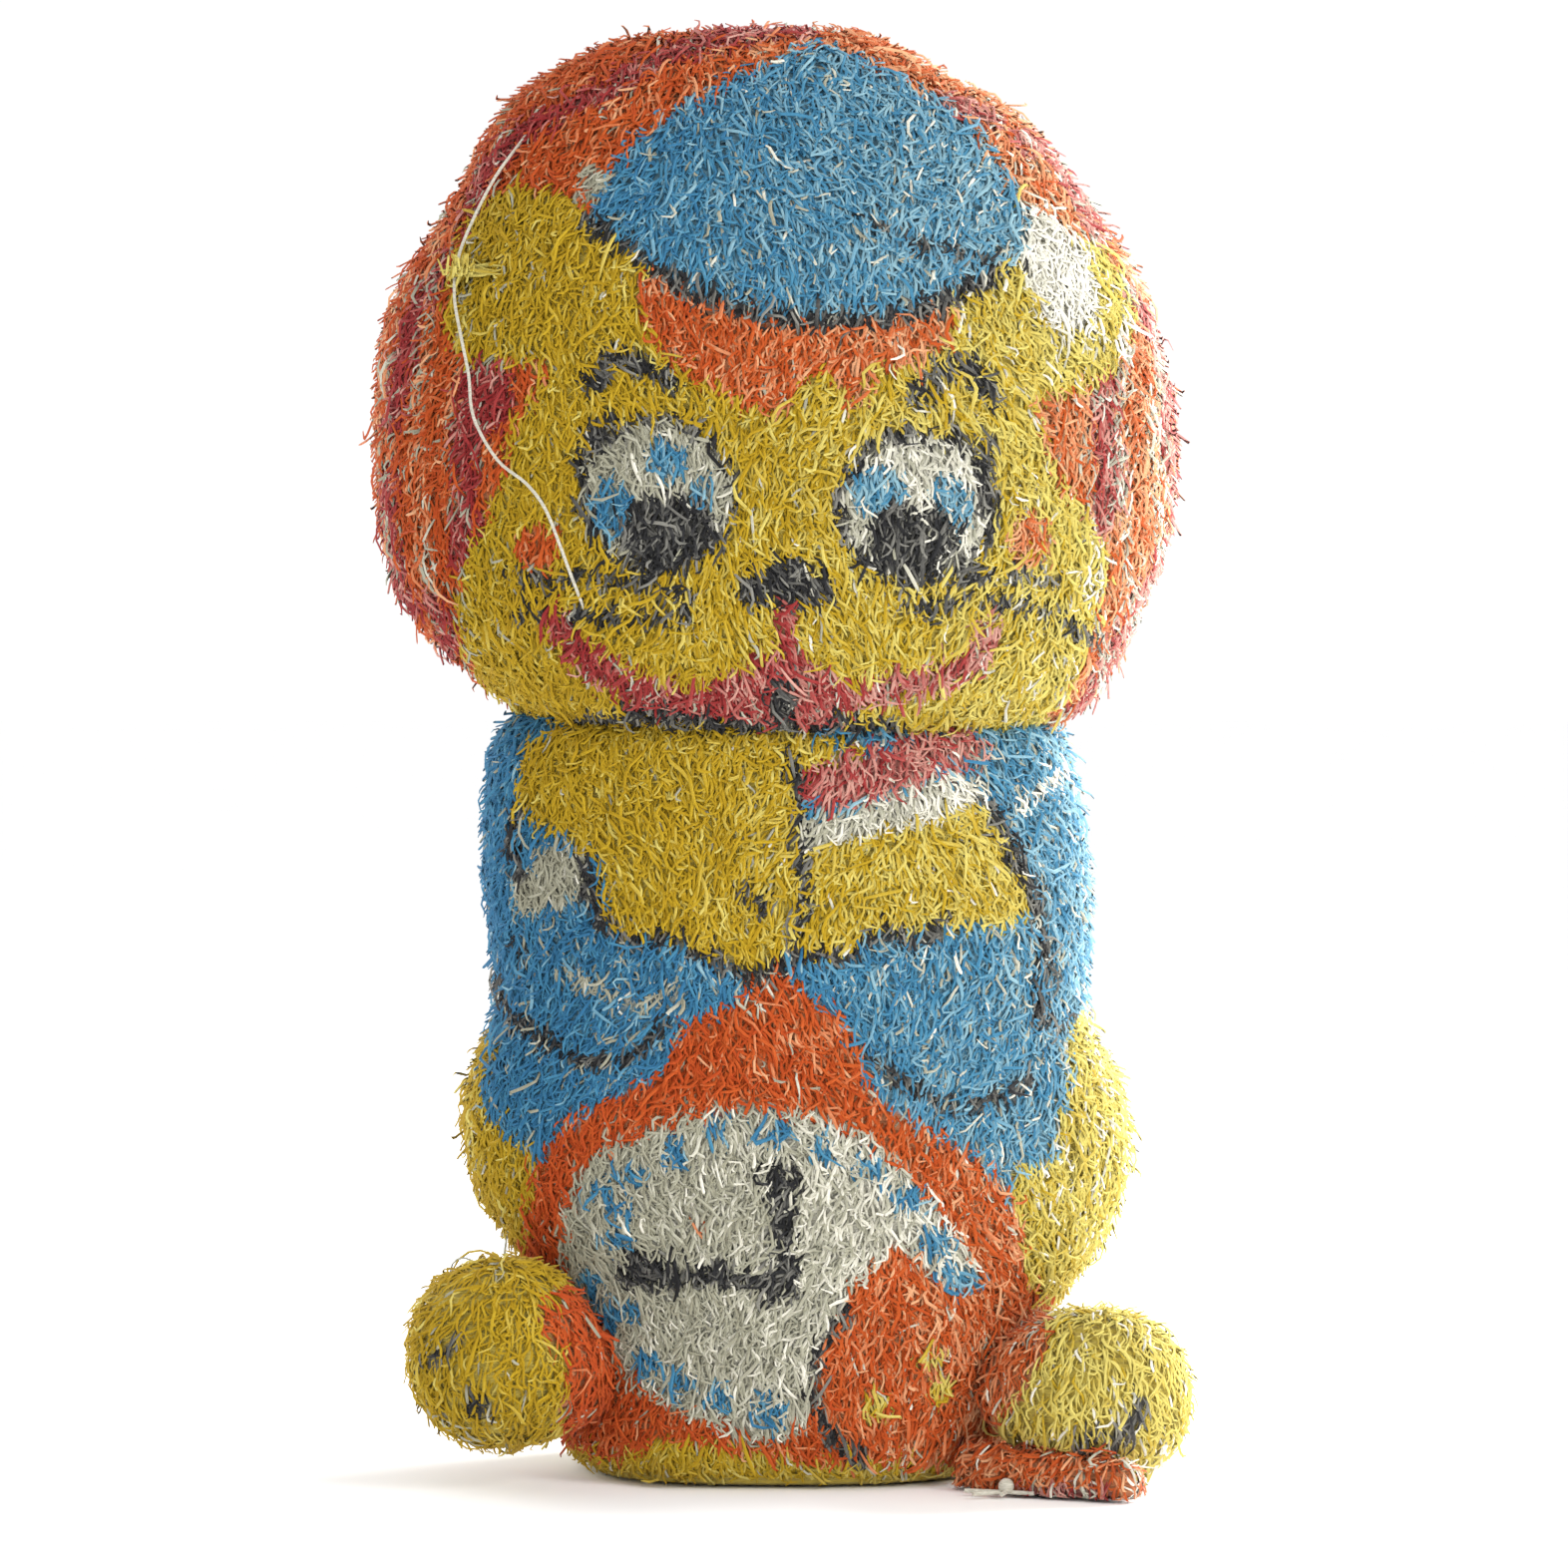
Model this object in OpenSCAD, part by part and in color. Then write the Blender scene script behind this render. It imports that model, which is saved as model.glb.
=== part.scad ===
// Hand puppet of looped terry knit: a lion cub in a cap and jacket that holds an alarm clock.
// A knitted tube is sewn shut over a stuffed head, tied in at the neck and left open at the hem
// for the hand. Two stuffed feet are stitched to the front corners of the hem.
// The origin is on the resting plane under the middle of the body. Front is -Y, up is +Z.

/* [Head] */
// Width of the head over the mane
head_w = 150; // [144:1:156]
// Depth of the stuffed head
head_d = 98; // [92:1:98]
// Height of the head's widest level above the neck
head_low_h = 48; // [44:1:52]
// Height from the head's widest level to its top
head_up_h = 86; // [80:1:92]

/* [Body] */
// Height of the tied neck above the resting plane
neck_z = 142; // [138:1:148]
// Width over the haunches
haunch_w = 125; // [120:1:128]
// Width over the chest
chest_w = 114; // [110:1:117]
// Width at the hem
base_w = 90; // [88:1:94]
// Depth of the body
body_d = 74; // [70:1:76]
// Depth at the hem
base_d = 70; // [66:1:72]
// Height of the folded hem
hem_h = 10; // [8:1:12]

/* [Layers] */
// Thickness of the terry knit
skin_t = 3; // [2:0.5:3]
// Thickness of the padding between knit and lining
padding_t = 3; // [2:0.5:4]
// Thickness of the cotton lining round the hand
lining_t = 0.8; // [0.6:0.1:1]

/* [Finger tube] */
// Inner radius of the card tube that takes the finger
finger_r = 11; // [9:0.5:12]
// Depth of the card tube
finger_len = 68; // [50:1:72]

/* [Feet] */
// Radius of a stuffed foot
foot_r = 16.5; // [15:0.5:16.5]
// Height of the left foot's middle
left_foot_z = 21.5; // [18:0.5:23]
// Height of the right foot's middle
right_foot_z = 18.5; // [18:0.5:20]

/* [Threads] */
// Diameter of the stray white thread
stray_d = 0.6; // [0.5:0.1:0.8]

/* [Hidden] */

// Yarn and cloth colours
yellow = [0.86, 0.72, 0.10];
orange = [0.90, 0.36, 0.10];
red = [0.72, 0.18, 0.18];
blue = [0.18, 0.47, 0.76];
cream = [0.88, 0.85, 0.74];
card = [0.62, 0.50, 0.36];

gap = 0.3;                    // air left between two soft layers
seam_half = 1.4;              // half the width of a sewn seam
seam_proud = 0.6;             // how far a seam stands out of the knit
seam_angle = 1;               // half the angle that a side seam takes up
neck_r = 27;                  // radius of the tied neck
neck_play = 1.5;              // room round the neck for it to turn
sleeve_bore_r = 17;           // way through the neck for the fingers
neck_half_h = 9;              // half the height of the neck sleeve
tube_wall = 1.5;              // wall of the card tube
shoulder_lift = 5;            // how much higher the shoulders are at the side seams
foot_reach_x = 56.6;          // foot's middle from the middle plane
foot_reach_y = -31.3;         // foot's middle in front of the body's middle
foot_turn = 30;               // how far a foot points forward of sideways
head_mid_z = neck_z + 0.5 + head_low_h;
padding_at = skin_t + gap;    // depth of each layer's outer face under the knit's outer face
lining_at = padding_at + padding_t + gap;
cavity_at = lining_at + lining_t;

// ---- Curves and grids ----

function power(v, p) = sign(v) * pow(abs(v), p);

// Point at angle a on a rounded rectangle of half sizes w and d, where n = 2 is an ellipse
function rounded_point(a, w, d, n) = [w * power(cos(a), 2 / n), d * power(sin(a), 2 / n)];

// Smooth curve through the rows of p, with k steps between each two
function curve_at(a, b, c, d, t) =
    0.5 * (2 * b + (c - a) * t + (2 * a - 5 * b + 4 * c - d) * t * t + (3 * b - a - 3 * c + d) * t * t * t);
function smooth(p, k) =
    let (last = len(p) - 1)
    concat(
        [for (i = [0:last - 1]) for (j = [0:k - 1])
            curve_at(p[max(i - 1, 0)], p[i], p[i + 1], p[min(i + 2, last)], j / k)],
        [p[last]]
    );

// Two triangles for the four corners a, b, c, d
function quad(a, b, c, d) = [[a, b, c], [a, c, d]];
function flat(lists) = [for (l = lists) for (v = l) v];

// Solid between an outer and an inner grid of points. Rows run up and columns run round.
// closed joins the last column to the first. capped closes the last row of each grid with a
// flat face, and otherwise a rim joins the two last rows.
module layer(outer, inner, closed = false, capped = false) {
    rows = len(outer);
    cols = len(outer[0]);
    steps = closed ? cols : cols - 1;
    in0 = rows * cols;
    top = (rows - 1) * cols;
    function at(i, j) = i * cols + j % cols;
    walls = flat([for (i = [0:rows - 2]) for (j = [0:steps - 1]) concat(
        quad(at(i, j), at(i + 1, j), at(i + 1, j + 1), at(i, j + 1)),
        quad(in0 + at(i, j), in0 + at(i, j + 1), in0 + at(i + 1, j + 1), in0 + at(i + 1, j))
    )]);
    foot_rim = flat([for (j = [0:steps - 1])
        quad(at(0, j), at(0, j + 1), in0 + at(0, j + 1), in0 + at(0, j))]);
    head_rim = capped
        ? [[for (j = [cols - 1:-1:0]) top + j], [for (j = [0:cols - 1]) in0 + top + j]]
        : flat([for (j = [0:steps - 1])
            quad(top + at(0, j), in0 + top + at(0, j), in0 + top + at(0, j + 1), top + at(0, j + 1))]);
    side_rims = closed ? [] : flat([for (i = [0:rows - 2]) concat(
        quad(at(i, 0), in0 + at(i, 0), in0 + at(i + 1, 0), at(i + 1, 0)),
        quad(at(i, cols - 1), at(i + 1, cols - 1), in0 + at(i + 1, cols - 1), in0 + at(i, cols - 1))
    )]);
    polyhedron(concat(flat(outer), flat(inner)), concat(walls, foot_rim, head_rim, side_rims));
}

// Round tube of diameter d that follows the points of a path
module cord_tube(path, d, sides = 8) {
    last = len(path) - 1;
    function along(i) = let (v = path[min(i + 1, last)] - path[max(i - 1, 0)]) v / norm(v);
    function across(i) = let (v = cross(along(i), [0, 1, 0.2])) v / norm(v);
    rings = [for (i = [0:last]) for (j = [0:sides - 1])
        let (a = 360 * j / sides, u = across(i), v = cross(along(i), u))
        path[i] + d / 2 * (cos(a) * u + sin(a) * v)];
    walls = flat([for (i = [0:last - 1]) for (j = [0:sides - 1])
        quad(i * sides + j, i * sides + (j + 1) % sides, (i + 1) * sides + (j + 1) % sides, (i + 1) * sides + j)]);
    ends = [[for (j = [sides - 1:-1:0]) j], [for (j = [0:sides - 1]) last * sides + j]];
    polyhedron(rings, concat(walls, ends));
}

// ---- Body ----

// Levels of the body's knit: height, half width, half depth, squareness
body_levels = [
    [hem_h, base_w / 2, base_d / 2, 2.5],
    [0.17 * neck_z, base_w / 2 + 1.5, base_d / 2 + 0.5, 2.5],
    [0.28 * neck_z, 0.40 * haunch_w + 1, body_d / 2 - 1, 2.5],
    [0.36 * neck_z, 0.47 * haunch_w, body_d / 2, 2.5],
    [0.46 * neck_z, haunch_w / 2, body_d / 2, 2.5],
    [0.53 * neck_z, 0.49 * haunch_w, body_d / 2, 2.5],
    [0.60 * neck_z, chest_w / 2, body_d / 2, 2.5],
    [0.72 * neck_z, chest_w / 2, body_d / 2 - 1, 2.5],
    [0.84 * neck_z, chest_w / 2, body_d / 2 - 2, 2.4],
    [0.905 * neck_z, chest_w / 2 - 1, body_d / 2 - 5, 2.3],
    [0.95 * neck_z, chest_w / 2 - 5, body_d / 2 - 9, 2.2],
    [neck_z - 3.5, chest_w / 2 - 14, body_d / 2 - 12, 2.1],
    [neck_z - 3, neck_r + neck_play, neck_r + neck_play - 4.5, 2]
];

// The same levels moved inwards by o, square to the body's side line
function inset_levels(p, o) =
    let (last = len(p) - 1)
    [for (i = [0:last])
        let (t = p[min(i + 1, last)] - p[max(i - 1, 0)], l = norm([t[0], t[1]]))
        [p[i][0] + (i == 0 ? 0 : o * t[1] / l), p[i][1] - o * t[0] / l, p[i][2] - o * t[0] / l, p[i][3]]];

// How much a point is raised to carry the shoulders up at the side seams
function lift(x, z) =
    shoulder_lift * pow(x / (chest_w / 2), 2) * max(0, min(1, (z - 0.8 * neck_z) / (0.18 * neck_z)));

// Grid of points on the body, o under the knit's outer face, from angle a0 to a1
function body_grid(o, a0, a1, steps, k = 1) =
    [for (l = smooth(inset_levels(body_levels, o), k))
        [for (j = [0:steps])
            let (p = rounded_point(a0 + (a1 - a0) * j / steps, l[1], l[2], l[3]))
            [p[0], p[1], l[0] + lift(p[0], l[0])]]];

// Grid that runs all the way round, without repeating its first column
function body_ring(o, cols) =
    [for (row = body_grid(o, 0, 360, cols)) [for (j = [0:cols - 1]) row[j]]];

module body_panel(first, from_o, to_o, steps) {
    a0 = first + seam_angle;
    a1 = first + 180 - seam_angle;
    difference() {
        layer(body_grid(from_o, a0, a1, steps), body_grid(to_o, a0, a1, steps));
        neck_room();
    }
}

// Space kept free round the neck sleeve
module neck_room() {
    translate([0, 0, neck_z - 16]) cylinder(h = 28, r = neck_r + neck_play, $fn = 96);
}

module body_front() {
    color(blue) body_panel(180, 0, skin_t, 18);
}

module body_back() {
    color(blue) body_panel(0, 0, skin_t, 18);
}

module side_seam(middle) {
    a0 = middle - seam_angle;
    a1 = middle + seam_angle;
    color(cream) layer(body_grid(-seam_proud, a0, a1, 1), body_grid(skin_t, a0, a1, 1));
}

module padding(first) {
    color(cream) body_panel(first, padding_at, padding_at + padding_t, 18);
}

module hand_lining() {
    color(cream) difference() {
        layer(body_ring(lining_at, 36), body_ring(cavity_at, 36), closed = true);
        neck_room();
    }
}

// Outline of the hem, o inside the knit's outer face
module hem_outline(o) {
    polygon([for (a = [0:7.5:352.5]) rounded_point(a, base_w / 2 - o, base_d / 2 - o, 2.5)]);
}

module hem_band() {
    color(yellow) linear_extrude(hem_h) difference() {
        hem_outline(-0.5);
        hem_outline(cavity_at);
    }
}

// Running stitches round the hem, each a short piece of thread
module hem_stitches() {
    stitch = 3.2;
    thread_r = 0.3;
    color(cream) for (a = [4:10:354]) {
        p = rounded_point(a, base_w / 2 + 0.9, base_d / 2 + 0.9, 2.5);
        q = rounded_point(a + 1, base_w / 2 + 0.9, base_d / 2 + 0.9, 2.5);
        translate([p[0], p[1], hem_h - 2])
            rotate([0, 90, atan2(q[1] - p[1], q[0] - p[0])])
                cylinder(h = stitch, r = thread_r, center = true, $fn = 16);
    }
}

// Tongue of spare knit at the front right corner, where the tube was sewn shut. It starts
// tall at the hem and runs out flat along the resting plane.
flap_base = 0.4;              // height of its underside
flap_spots = [[35.5, -31.5], [44, -40.5], [53, -45.8]];
flap_radii = [2.2, 2.6, 2.2];
flap_heights = [7, 5, 3];
module flap_post(i) {
    translate([flap_spots[i][0], flap_spots[i][1], flap_base])
        cylinder(h = flap_heights[i] - flap_base, r = flap_radii[i], $fn = 24);
}
module corner_flap() {
    color(orange) for (i = [0, 1]) hull() {
        flap_post(i);
        flap_post(i + 1);
    }
}

// Knot at the end of the closing seam with its cut thread tails
module closing_knot() {
    knot_r = 1.5;
    tail_r = 0.4;
    tails = [[-20, 5.5], [165, 8], [205, 7], [255, 3.6]];   // heading and length of each tail
    color(cream) translate([41.2, -43.9, knot_r + flap_base]) {
        sphere(r = knot_r, $fn = 64);
        for (t = tails) rotate([0, 0, t[0]]) translate([0, 0, tail_r - knot_r])
            rotate([0, 90, 0]) cylinder(h = t[1], r = tail_r, $fn = 48);
    }
}

// ---- Neck ----

module neck_sleeve() {
    groove_r = 1.1;
    color(yellow) translate([0, 0, neck_z]) difference() {
        intersection() {
            sphere(r = neck_r, $fn = 96);
            cylinder(h = 2 * neck_half_h, r = neck_r + 1, center = true, $fn = 96);
        }
        cylinder(h = 4 * neck_half_h, r = sleeve_bore_r, center = true, $fn = 96);
        rotate_extrude($fn = 96) translate([neck_r - 0.2, 0]) circle(r = groove_r, $fn = 24);
    }
}

module neck_tie() {
    tie_r = 0.9;
    color(cream) translate([0, 0, neck_z])
        rotate_extrude($fn = 96) translate([neck_r - 0.2, 0]) circle(r = tie_r, $fn = 24);
}

// ---- Head ----

// Outline of the head seen from the front, o inside the knit's outer face
function head_outline(a, o) =
    let (
        up = sin(a) >= 0,
        p = rounded_point(a, head_w / 2 - o, (up ? head_up_h : head_low_h) - o, up ? 2 : 2.5)
    ) [p[0], p[1]];

// Rings of the head from the seam plane to the face, o under the knit's outer face
head_fullness = 2.3;
head_rows = 9;
head_cols = 40;
function head_rings(o, side, y0) =
    let (d = head_d / 2 - o)
    [for (i = [0:head_rows])
        let (
            share = max(y0 / d, power(sin(83 * i / head_rows), 2 / head_fullness)),
            f = pow(1 - pow(share, head_fullness), 1 / head_fullness)
        )
        [for (j = [0:head_cols - 1])
            let (p = head_outline(side * -360 * j / head_cols, o))
            [f * p[0], side * share * d, head_mid_z + f * p[1]]]];

module head_panel(side) {
    color(side < 0 ? yellow : orange) difference() {
        layer(head_rings(0, side, seam_half), head_rings(skin_t, side, seam_half), closed = true, capped = true);
        neck_room();
    }
}

module head_seam() {
    color(red) difference() {
        rotate([90, 0, 0]) linear_extrude(2 * seam_half, center = true) difference() {
            polygon([for (j = [0:71]) head_outline(5 * j, -seam_proud) + [0, head_mid_z]]);
            polygon([for (j = [0:71]) head_outline(5 * j, skin_t + 0.1) + [0, head_mid_z]]);
        }
        neck_room();
    }
}

module head_stuffing() {
    o = skin_t + gap;
    rings_back = head_rings(o, 1, 0);
    rings_front = head_rings(o, -1, 0);
    // The front's rings are listed the other way round, so each is turned to match the back's
    front = [for (i = [head_rows:-1:1]) [for (j = [0:head_cols - 1])
        rings_front[i][(head_cols - j) % head_cols]]];
    rings = concat(front, rings_back);
    rows = len(rings);
    color(cream) difference() {
        polyhedron(
            flat(rings),
            concat(
                flat([for (i = [0:rows - 2]) for (j = [0:head_cols - 1])
                    quad(i * head_cols + j, (i + 1) * head_cols + j,
                        (i + 1) * head_cols + (j + 1) % head_cols, i * head_cols + (j + 1) % head_cols)]),
                [[for (j = [0:head_cols - 1]) j],
                 [for (j = [head_cols - 1:-1:0]) (rows - 1) * head_cols + j]]
            )
        );
        neck_room();
        translate([0, 0, neck_z])
            cylinder(h = tube_base + finger_len + tube_wall + 0.2, r = finger_r + tube_wall + 0.1, $fn = 96);
    }
}

tube_base = 12.4;             // bottom of the finger tube above the neck
module finger_tube() {
    color(card) translate([0, 0, neck_z + tube_base]) difference() {
        cylinder(h = finger_len + tube_wall, r = finger_r + tube_wall, $fn = 96);
        translate([0, 0, -1]) cylinder(h = finger_len + 1, r = finger_r, $fn = 96);
    }
}

// Point of the head's front at x and z, o inside the knit's outer face
function on_face(x, z, o) =
    let (
        above = z - head_mid_z,
        w = head_w / 2 - o,
        h = (above > 0 ? head_up_h : head_low_h) - o,
        n = above > 0 ? 2 : 2.5,
        f = min(1, pow(pow(abs(x) / w, n) + pow(abs(above) / h, n), 1 / n))
    )
    [x, -(head_d / 2 - o) * pow(1 - pow(f, head_fullness), 1 / head_fullness), z];

// Tuft of snagged yarn beside the stray thread
tuft_turn = [0, 70, 226];     // square to the face there
module snagged_tuft() {
    color(yellow) translate(on_face(-57.5, neck_z + 87.5, -0.4)) rotate(tuft_turn)
        cylinder(h = 3, r1 = 2.2, r2 = 1.2, $fn = 64);
}

// Route of the stray thread over the left of the face: x and z from the head seam to the cheek
stray_route = [
    [-43, 268], [-49, 257], [-55, 248], [-59.5, 239], [-62, 232], [-62.5, 225], [-61, 217],
    [-59.5, 210], [-58.5, 202], [-54, 194], [-48.5, 189.5], [-45, 185], [-42.5, 179], [-40, 172],
    [-37, 164]
];
stray_stand = 4.5;            // how far the thread lies off the knit, on top of the loops
stray_sunk = 0.2;             // share of that at its two ends, which go down between the loops

// Share of the stand at part t of the route, from 0 at one end to 1 at the other
function stray_rise(t) = min(1, stray_sunk + 6 * min(t, 1 - t));

module stray_thread() {
    route = smooth(stray_route, 5);
    last = len(route) - 1;
    path = [for (i = [0:last]) on_face(route[i][0], route[i][1], -stray_stand * stray_rise(i / last))];
    color(cream) cord_tube(path, stray_d);
}

// ---- Feet ----

// Places its children at the middle of a foot, with +X pointing out along the foot
module at_foot(side, z) {
    translate([side * foot_reach_x, foot_reach_y, z])
        rotate([0, 0, side > 0 ? -foot_turn : 180 + foot_turn]) children();
}

module foot_skin(side, z) {
    color(yellow) at_foot(side, z) difference() {
        sphere(r = foot_r, $fn = 96);
        sphere(r = foot_r - skin_t, $fn = 96);
    }
}

module foot_stuffing(side, z) {
    color(cream) at_foot(side, z) sphere(r = foot_r - skin_t - gap, $fn = 96);
}

// Ring of stitches between the foot and the body
module foot_stitches(side, z) {
    ring_r = 3.2;
    thread_r = 0.45;
    off = foot_r + thread_r + 0.1;   // ring's distance from the foot's middle
    color(cream) at_foot(side, z) translate([-sqrt(off * off - ring_r * ring_r), 0, 0]) rotate([0, 90, 0])
        rotate_extrude($fn = 64) translate([ring_r, 0]) circle(r = thread_r, $fn = 32);
}

// ---- Assembly ----

body_front();
body_back();
side_seam(180);  // side_seam_left
side_seam(0);  // side_seam_right
padding(180);  // padding_front
padding(0);  // padding_back
hand_lining();
hem_band();
hem_stitches();
corner_flap();
closing_knot();
neck_sleeve();
neck_tie();
head_panel(-1);  // head_front
head_panel(1);  // head_back
head_seam();
head_stuffing();
finger_tube();
snagged_tuft();
stray_thread();
foot_skin(-1, left_foot_z);  // foot_left_skin
foot_stuffing(-1, left_foot_z);  // foot_left_stuffing
foot_stitches(-1, left_foot_z);  // foot_left_stitches
foot_skin(1, right_foot_z);  // foot_right_skin
foot_stuffing(1, right_foot_z);  // foot_right_stuffing
foot_stitches(1, right_foot_z);  // foot_right_stitches
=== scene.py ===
"""Looks of a hand puppet in looped terry knit: stuffed head, tied neck, hand tube and two ball feet.

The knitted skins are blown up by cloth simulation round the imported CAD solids. The terry pile on
them is real yarn: short arches and loose ends, each a small tapered tube. A knitted-in picture
decides the colour of every strand. Lengths are in millimetres until they reach Blender.
"""
import math

import bpy
import numpy as np
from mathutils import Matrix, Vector
from mathutils.bvhtree import BVHTree


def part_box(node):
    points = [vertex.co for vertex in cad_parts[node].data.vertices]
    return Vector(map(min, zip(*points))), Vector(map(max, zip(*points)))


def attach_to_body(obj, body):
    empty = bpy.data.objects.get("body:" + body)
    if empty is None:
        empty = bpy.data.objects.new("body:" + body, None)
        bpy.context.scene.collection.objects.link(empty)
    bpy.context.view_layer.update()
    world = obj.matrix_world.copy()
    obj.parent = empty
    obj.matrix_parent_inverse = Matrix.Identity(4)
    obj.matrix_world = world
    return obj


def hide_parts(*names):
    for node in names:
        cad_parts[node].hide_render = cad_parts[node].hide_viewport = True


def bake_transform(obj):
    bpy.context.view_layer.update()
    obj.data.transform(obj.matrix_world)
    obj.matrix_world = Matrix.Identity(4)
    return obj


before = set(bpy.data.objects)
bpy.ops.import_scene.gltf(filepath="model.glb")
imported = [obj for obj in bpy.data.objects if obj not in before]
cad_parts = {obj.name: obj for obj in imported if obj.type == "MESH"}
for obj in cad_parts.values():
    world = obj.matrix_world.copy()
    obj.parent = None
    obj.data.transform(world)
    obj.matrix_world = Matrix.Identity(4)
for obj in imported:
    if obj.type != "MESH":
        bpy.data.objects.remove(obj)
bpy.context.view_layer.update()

MM = 0.001
scene = bpy.context.scene


# ---- Numbers that several parts share ----

def box_mm(*nodes):
    """Lowest and highest corner round these CAD nodes, in millimetres."""
    boxes = [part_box(n) for n in nodes]
    low = np.min([list(b[0]) for b in boxes], axis=0) / MM
    high = np.max([list(b[1]) for b in boxes], axis=0) / MM
    return low, high


neck_z = box_mm("head_front", "head_back")[0][2]    # the head starts here


def srgb(code):
    """Linear colour of an sRGB hex code such as C9A412."""
    parts = [int(code[i:i + 2], 16) / 255 for i in (0, 2, 4)]
    return tuple(p / 12.92 if p < 0.04045 else ((p + 0.055) / 1.055) ** 2.4 for p in parts)


# Yarn colours: of the deepest, of the middling and of the palest strands
YARNS = {
    "yellow": ("AA880C", "B9991A", "D4C468"),
    "orange": ("B0420F", "C0551C", "E0A67A"),
    "red": ("8A1E20", "A03836", "CE988A"),
    "blue": ("2C6A92", "4484A4", "8CB2BE"),
    "white": ("9A9782", "AEAC98", "EEEADA"),
    "black": ("101011", "29292B", "86847C"),
}
COLOURS = list(YARNS)


# ---- Curves ----

def smooth(points, steps, closed=False):
    """Catmull-Rom curve through the rows of points, with this many steps between each two."""
    p = np.array(points, float)
    n = len(p)
    spans = n if closed else n - 1
    rows = []
    for i in range(spans):
        if closed:
            a, b, c, d = (p[(i + k) % n] for k in (-1, 0, 1, 2))
        else:
            a, b, c, d = p[max(i - 1, 0)], p[i], p[i + 1], p[min(i + 2, n - 1)]
        for t in np.arange(steps) / steps:
            rows.append(0.5 * (2 * b + (c - a) * t + (2 * a - 5 * b + 4 * c - d) * t ** 2
                               + (3 * b - a - 3 * c + d) * t ** 3))
    if not closed:
        rows.append(p[-1])
    return np.array(rows)


def ramp(value, low, high):
    """0 below low, 1 above high, and smooth between them."""
    t = np.clip((np.asarray(value, float) - low) / (high - low), 0, 1)
    return t * t * (3 - 2 * t)


# ---- Camera ----

def add_camera():
    """Long lens that looks straight at the front of the puppet, a little above its middle."""
    width = 298.7 * MM          # what the square picture takes in at the puppet
    distance = 1.2
    sensor = 36
    data = bpy.data.cameras.new("camera")
    data.sensor_width = sensor
    data.lens = sensor * distance / width
    camera = bpy.data.objects.new("camera", data)
    scene.collection.objects.link(camera)
    target = Vector((-0.0004, -0.02, 0.1328))
    tilt = math.radians(1.5)
    back = Vector((0, -math.cos(tilt), math.sin(tilt)))
    camera.location = target + back * distance
    camera.rotation_euler = (-back).to_track_quat("-Z", "Y").to_euler()
    scene.camera = camera


add_camera()


# ---- Materials ----

def new_material(name, roughness=0.9, sheen=0.0):
    """Node material, its nodes, its links and its principled shader."""
    material = bpy.data.materials.new(name)
    material.use_nodes = True
    nodes, links = material.node_tree.nodes, material.node_tree.links
    shader = nodes["Principled BSDF"]
    shader.inputs["Roughness"].default_value = roughness
    shader.inputs["Specular IOR Level"].default_value = 0.25
    shader.inputs["Sheen Weight"].default_value = sheen
    shader.inputs["Sheen Roughness"].default_value = 0.6
    return material, nodes, links, shader


def colour_ramp(nodes, stops):
    """Colour ramp with these (place, linear colour) stops."""
    node = nodes.new("ShaderNodeValToRGB")
    elements = node.color_ramp.elements
    elements[0].position, elements[0].color = stops[0][0], (*stops[0][1], 1)
    elements[1].position, elements[1].color = stops[-1][0], (*stops[-1][1], 1)
    for place, colour in stops[1:-1]:
        elements.new(place).color = (*colour, 1)
    return node


def noise(nodes, links, scale, detail=3.0, stretch=None):
    """Noise texture in the object's own coordinates, per metre, stretched along an axis if asked."""
    coordinates = nodes.new("ShaderNodeTexCoord")
    texture = nodes.new("ShaderNodeTexNoise")
    texture.inputs["Scale"].default_value = scale
    texture.inputs["Detail"].default_value = detail
    source = coordinates.outputs["Object"]
    if stretch:
        mapping = nodes.new("ShaderNodeMapping")
        mapping.inputs["Scale"].default_value = stretch
        links.new(source, mapping.inputs["Vector"])
        source = mapping.outputs["Vector"]
    links.new(source, texture.inputs["Vector"])
    return texture


def add_bump(nodes, links, shader, height, strength, distance):
    bump = nodes.new("ShaderNodeBump")
    bump.inputs["Strength"].default_value = strength
    bump.inputs["Distance"].default_value = distance
    links.new(height, bump.inputs["Height"])
    links.new(bump.outputs["Normal"], shader.inputs["Normal"])


def math_node(nodes, links, operation, first, second):
    """Math node whose inputs are sockets or plain numbers."""
    node = nodes.new("ShaderNodeMath")
    node.operation = operation
    for socket, value in zip(node.inputs, (first, second)):
        if isinstance(value, (int, float)):
            socket.default_value = value
        else:
            links.new(value, socket)
    return node.outputs["Value"]


def pile_material(colour):
    """Fluffy cotton yarn: every strand has its own tint, and its top is paler than its foot, as painted
    light on top of the pile and painted shade deep in it.
    """
    deep, middle, pale = (srgb(c) for c in YARNS[colour])
    material, nodes, links, shader = new_material(f"terry {colour}", 0.75, 0.06)
    shader.inputs["Specular IOR Level"].default_value = 0.2
    tint = nodes.new("ShaderNodeAttribute")
    tint.attribute_name = "tint"
    fibres = noise(nodes, links, 1400, 2)
    fibre_share = math_node(nodes, links, "MULTIPLY", fibres.outputs["Fac"], 0.24)
    total = math_node(nodes, links, "ADD", tint.outputs["Fac"], fibre_share)
    shades = colour_ramp(nodes, [(0.12, deep), (0.55, middle), (1.0, pale)])
    links.new(total, shades.inputs["Fac"])
    links.new(shades.outputs["Color"], shader.inputs["Base Color"])
    add_bump(nodes, links, shader, fibres.outputs["Fac"], 0.5, 0.0002)
    return material


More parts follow.
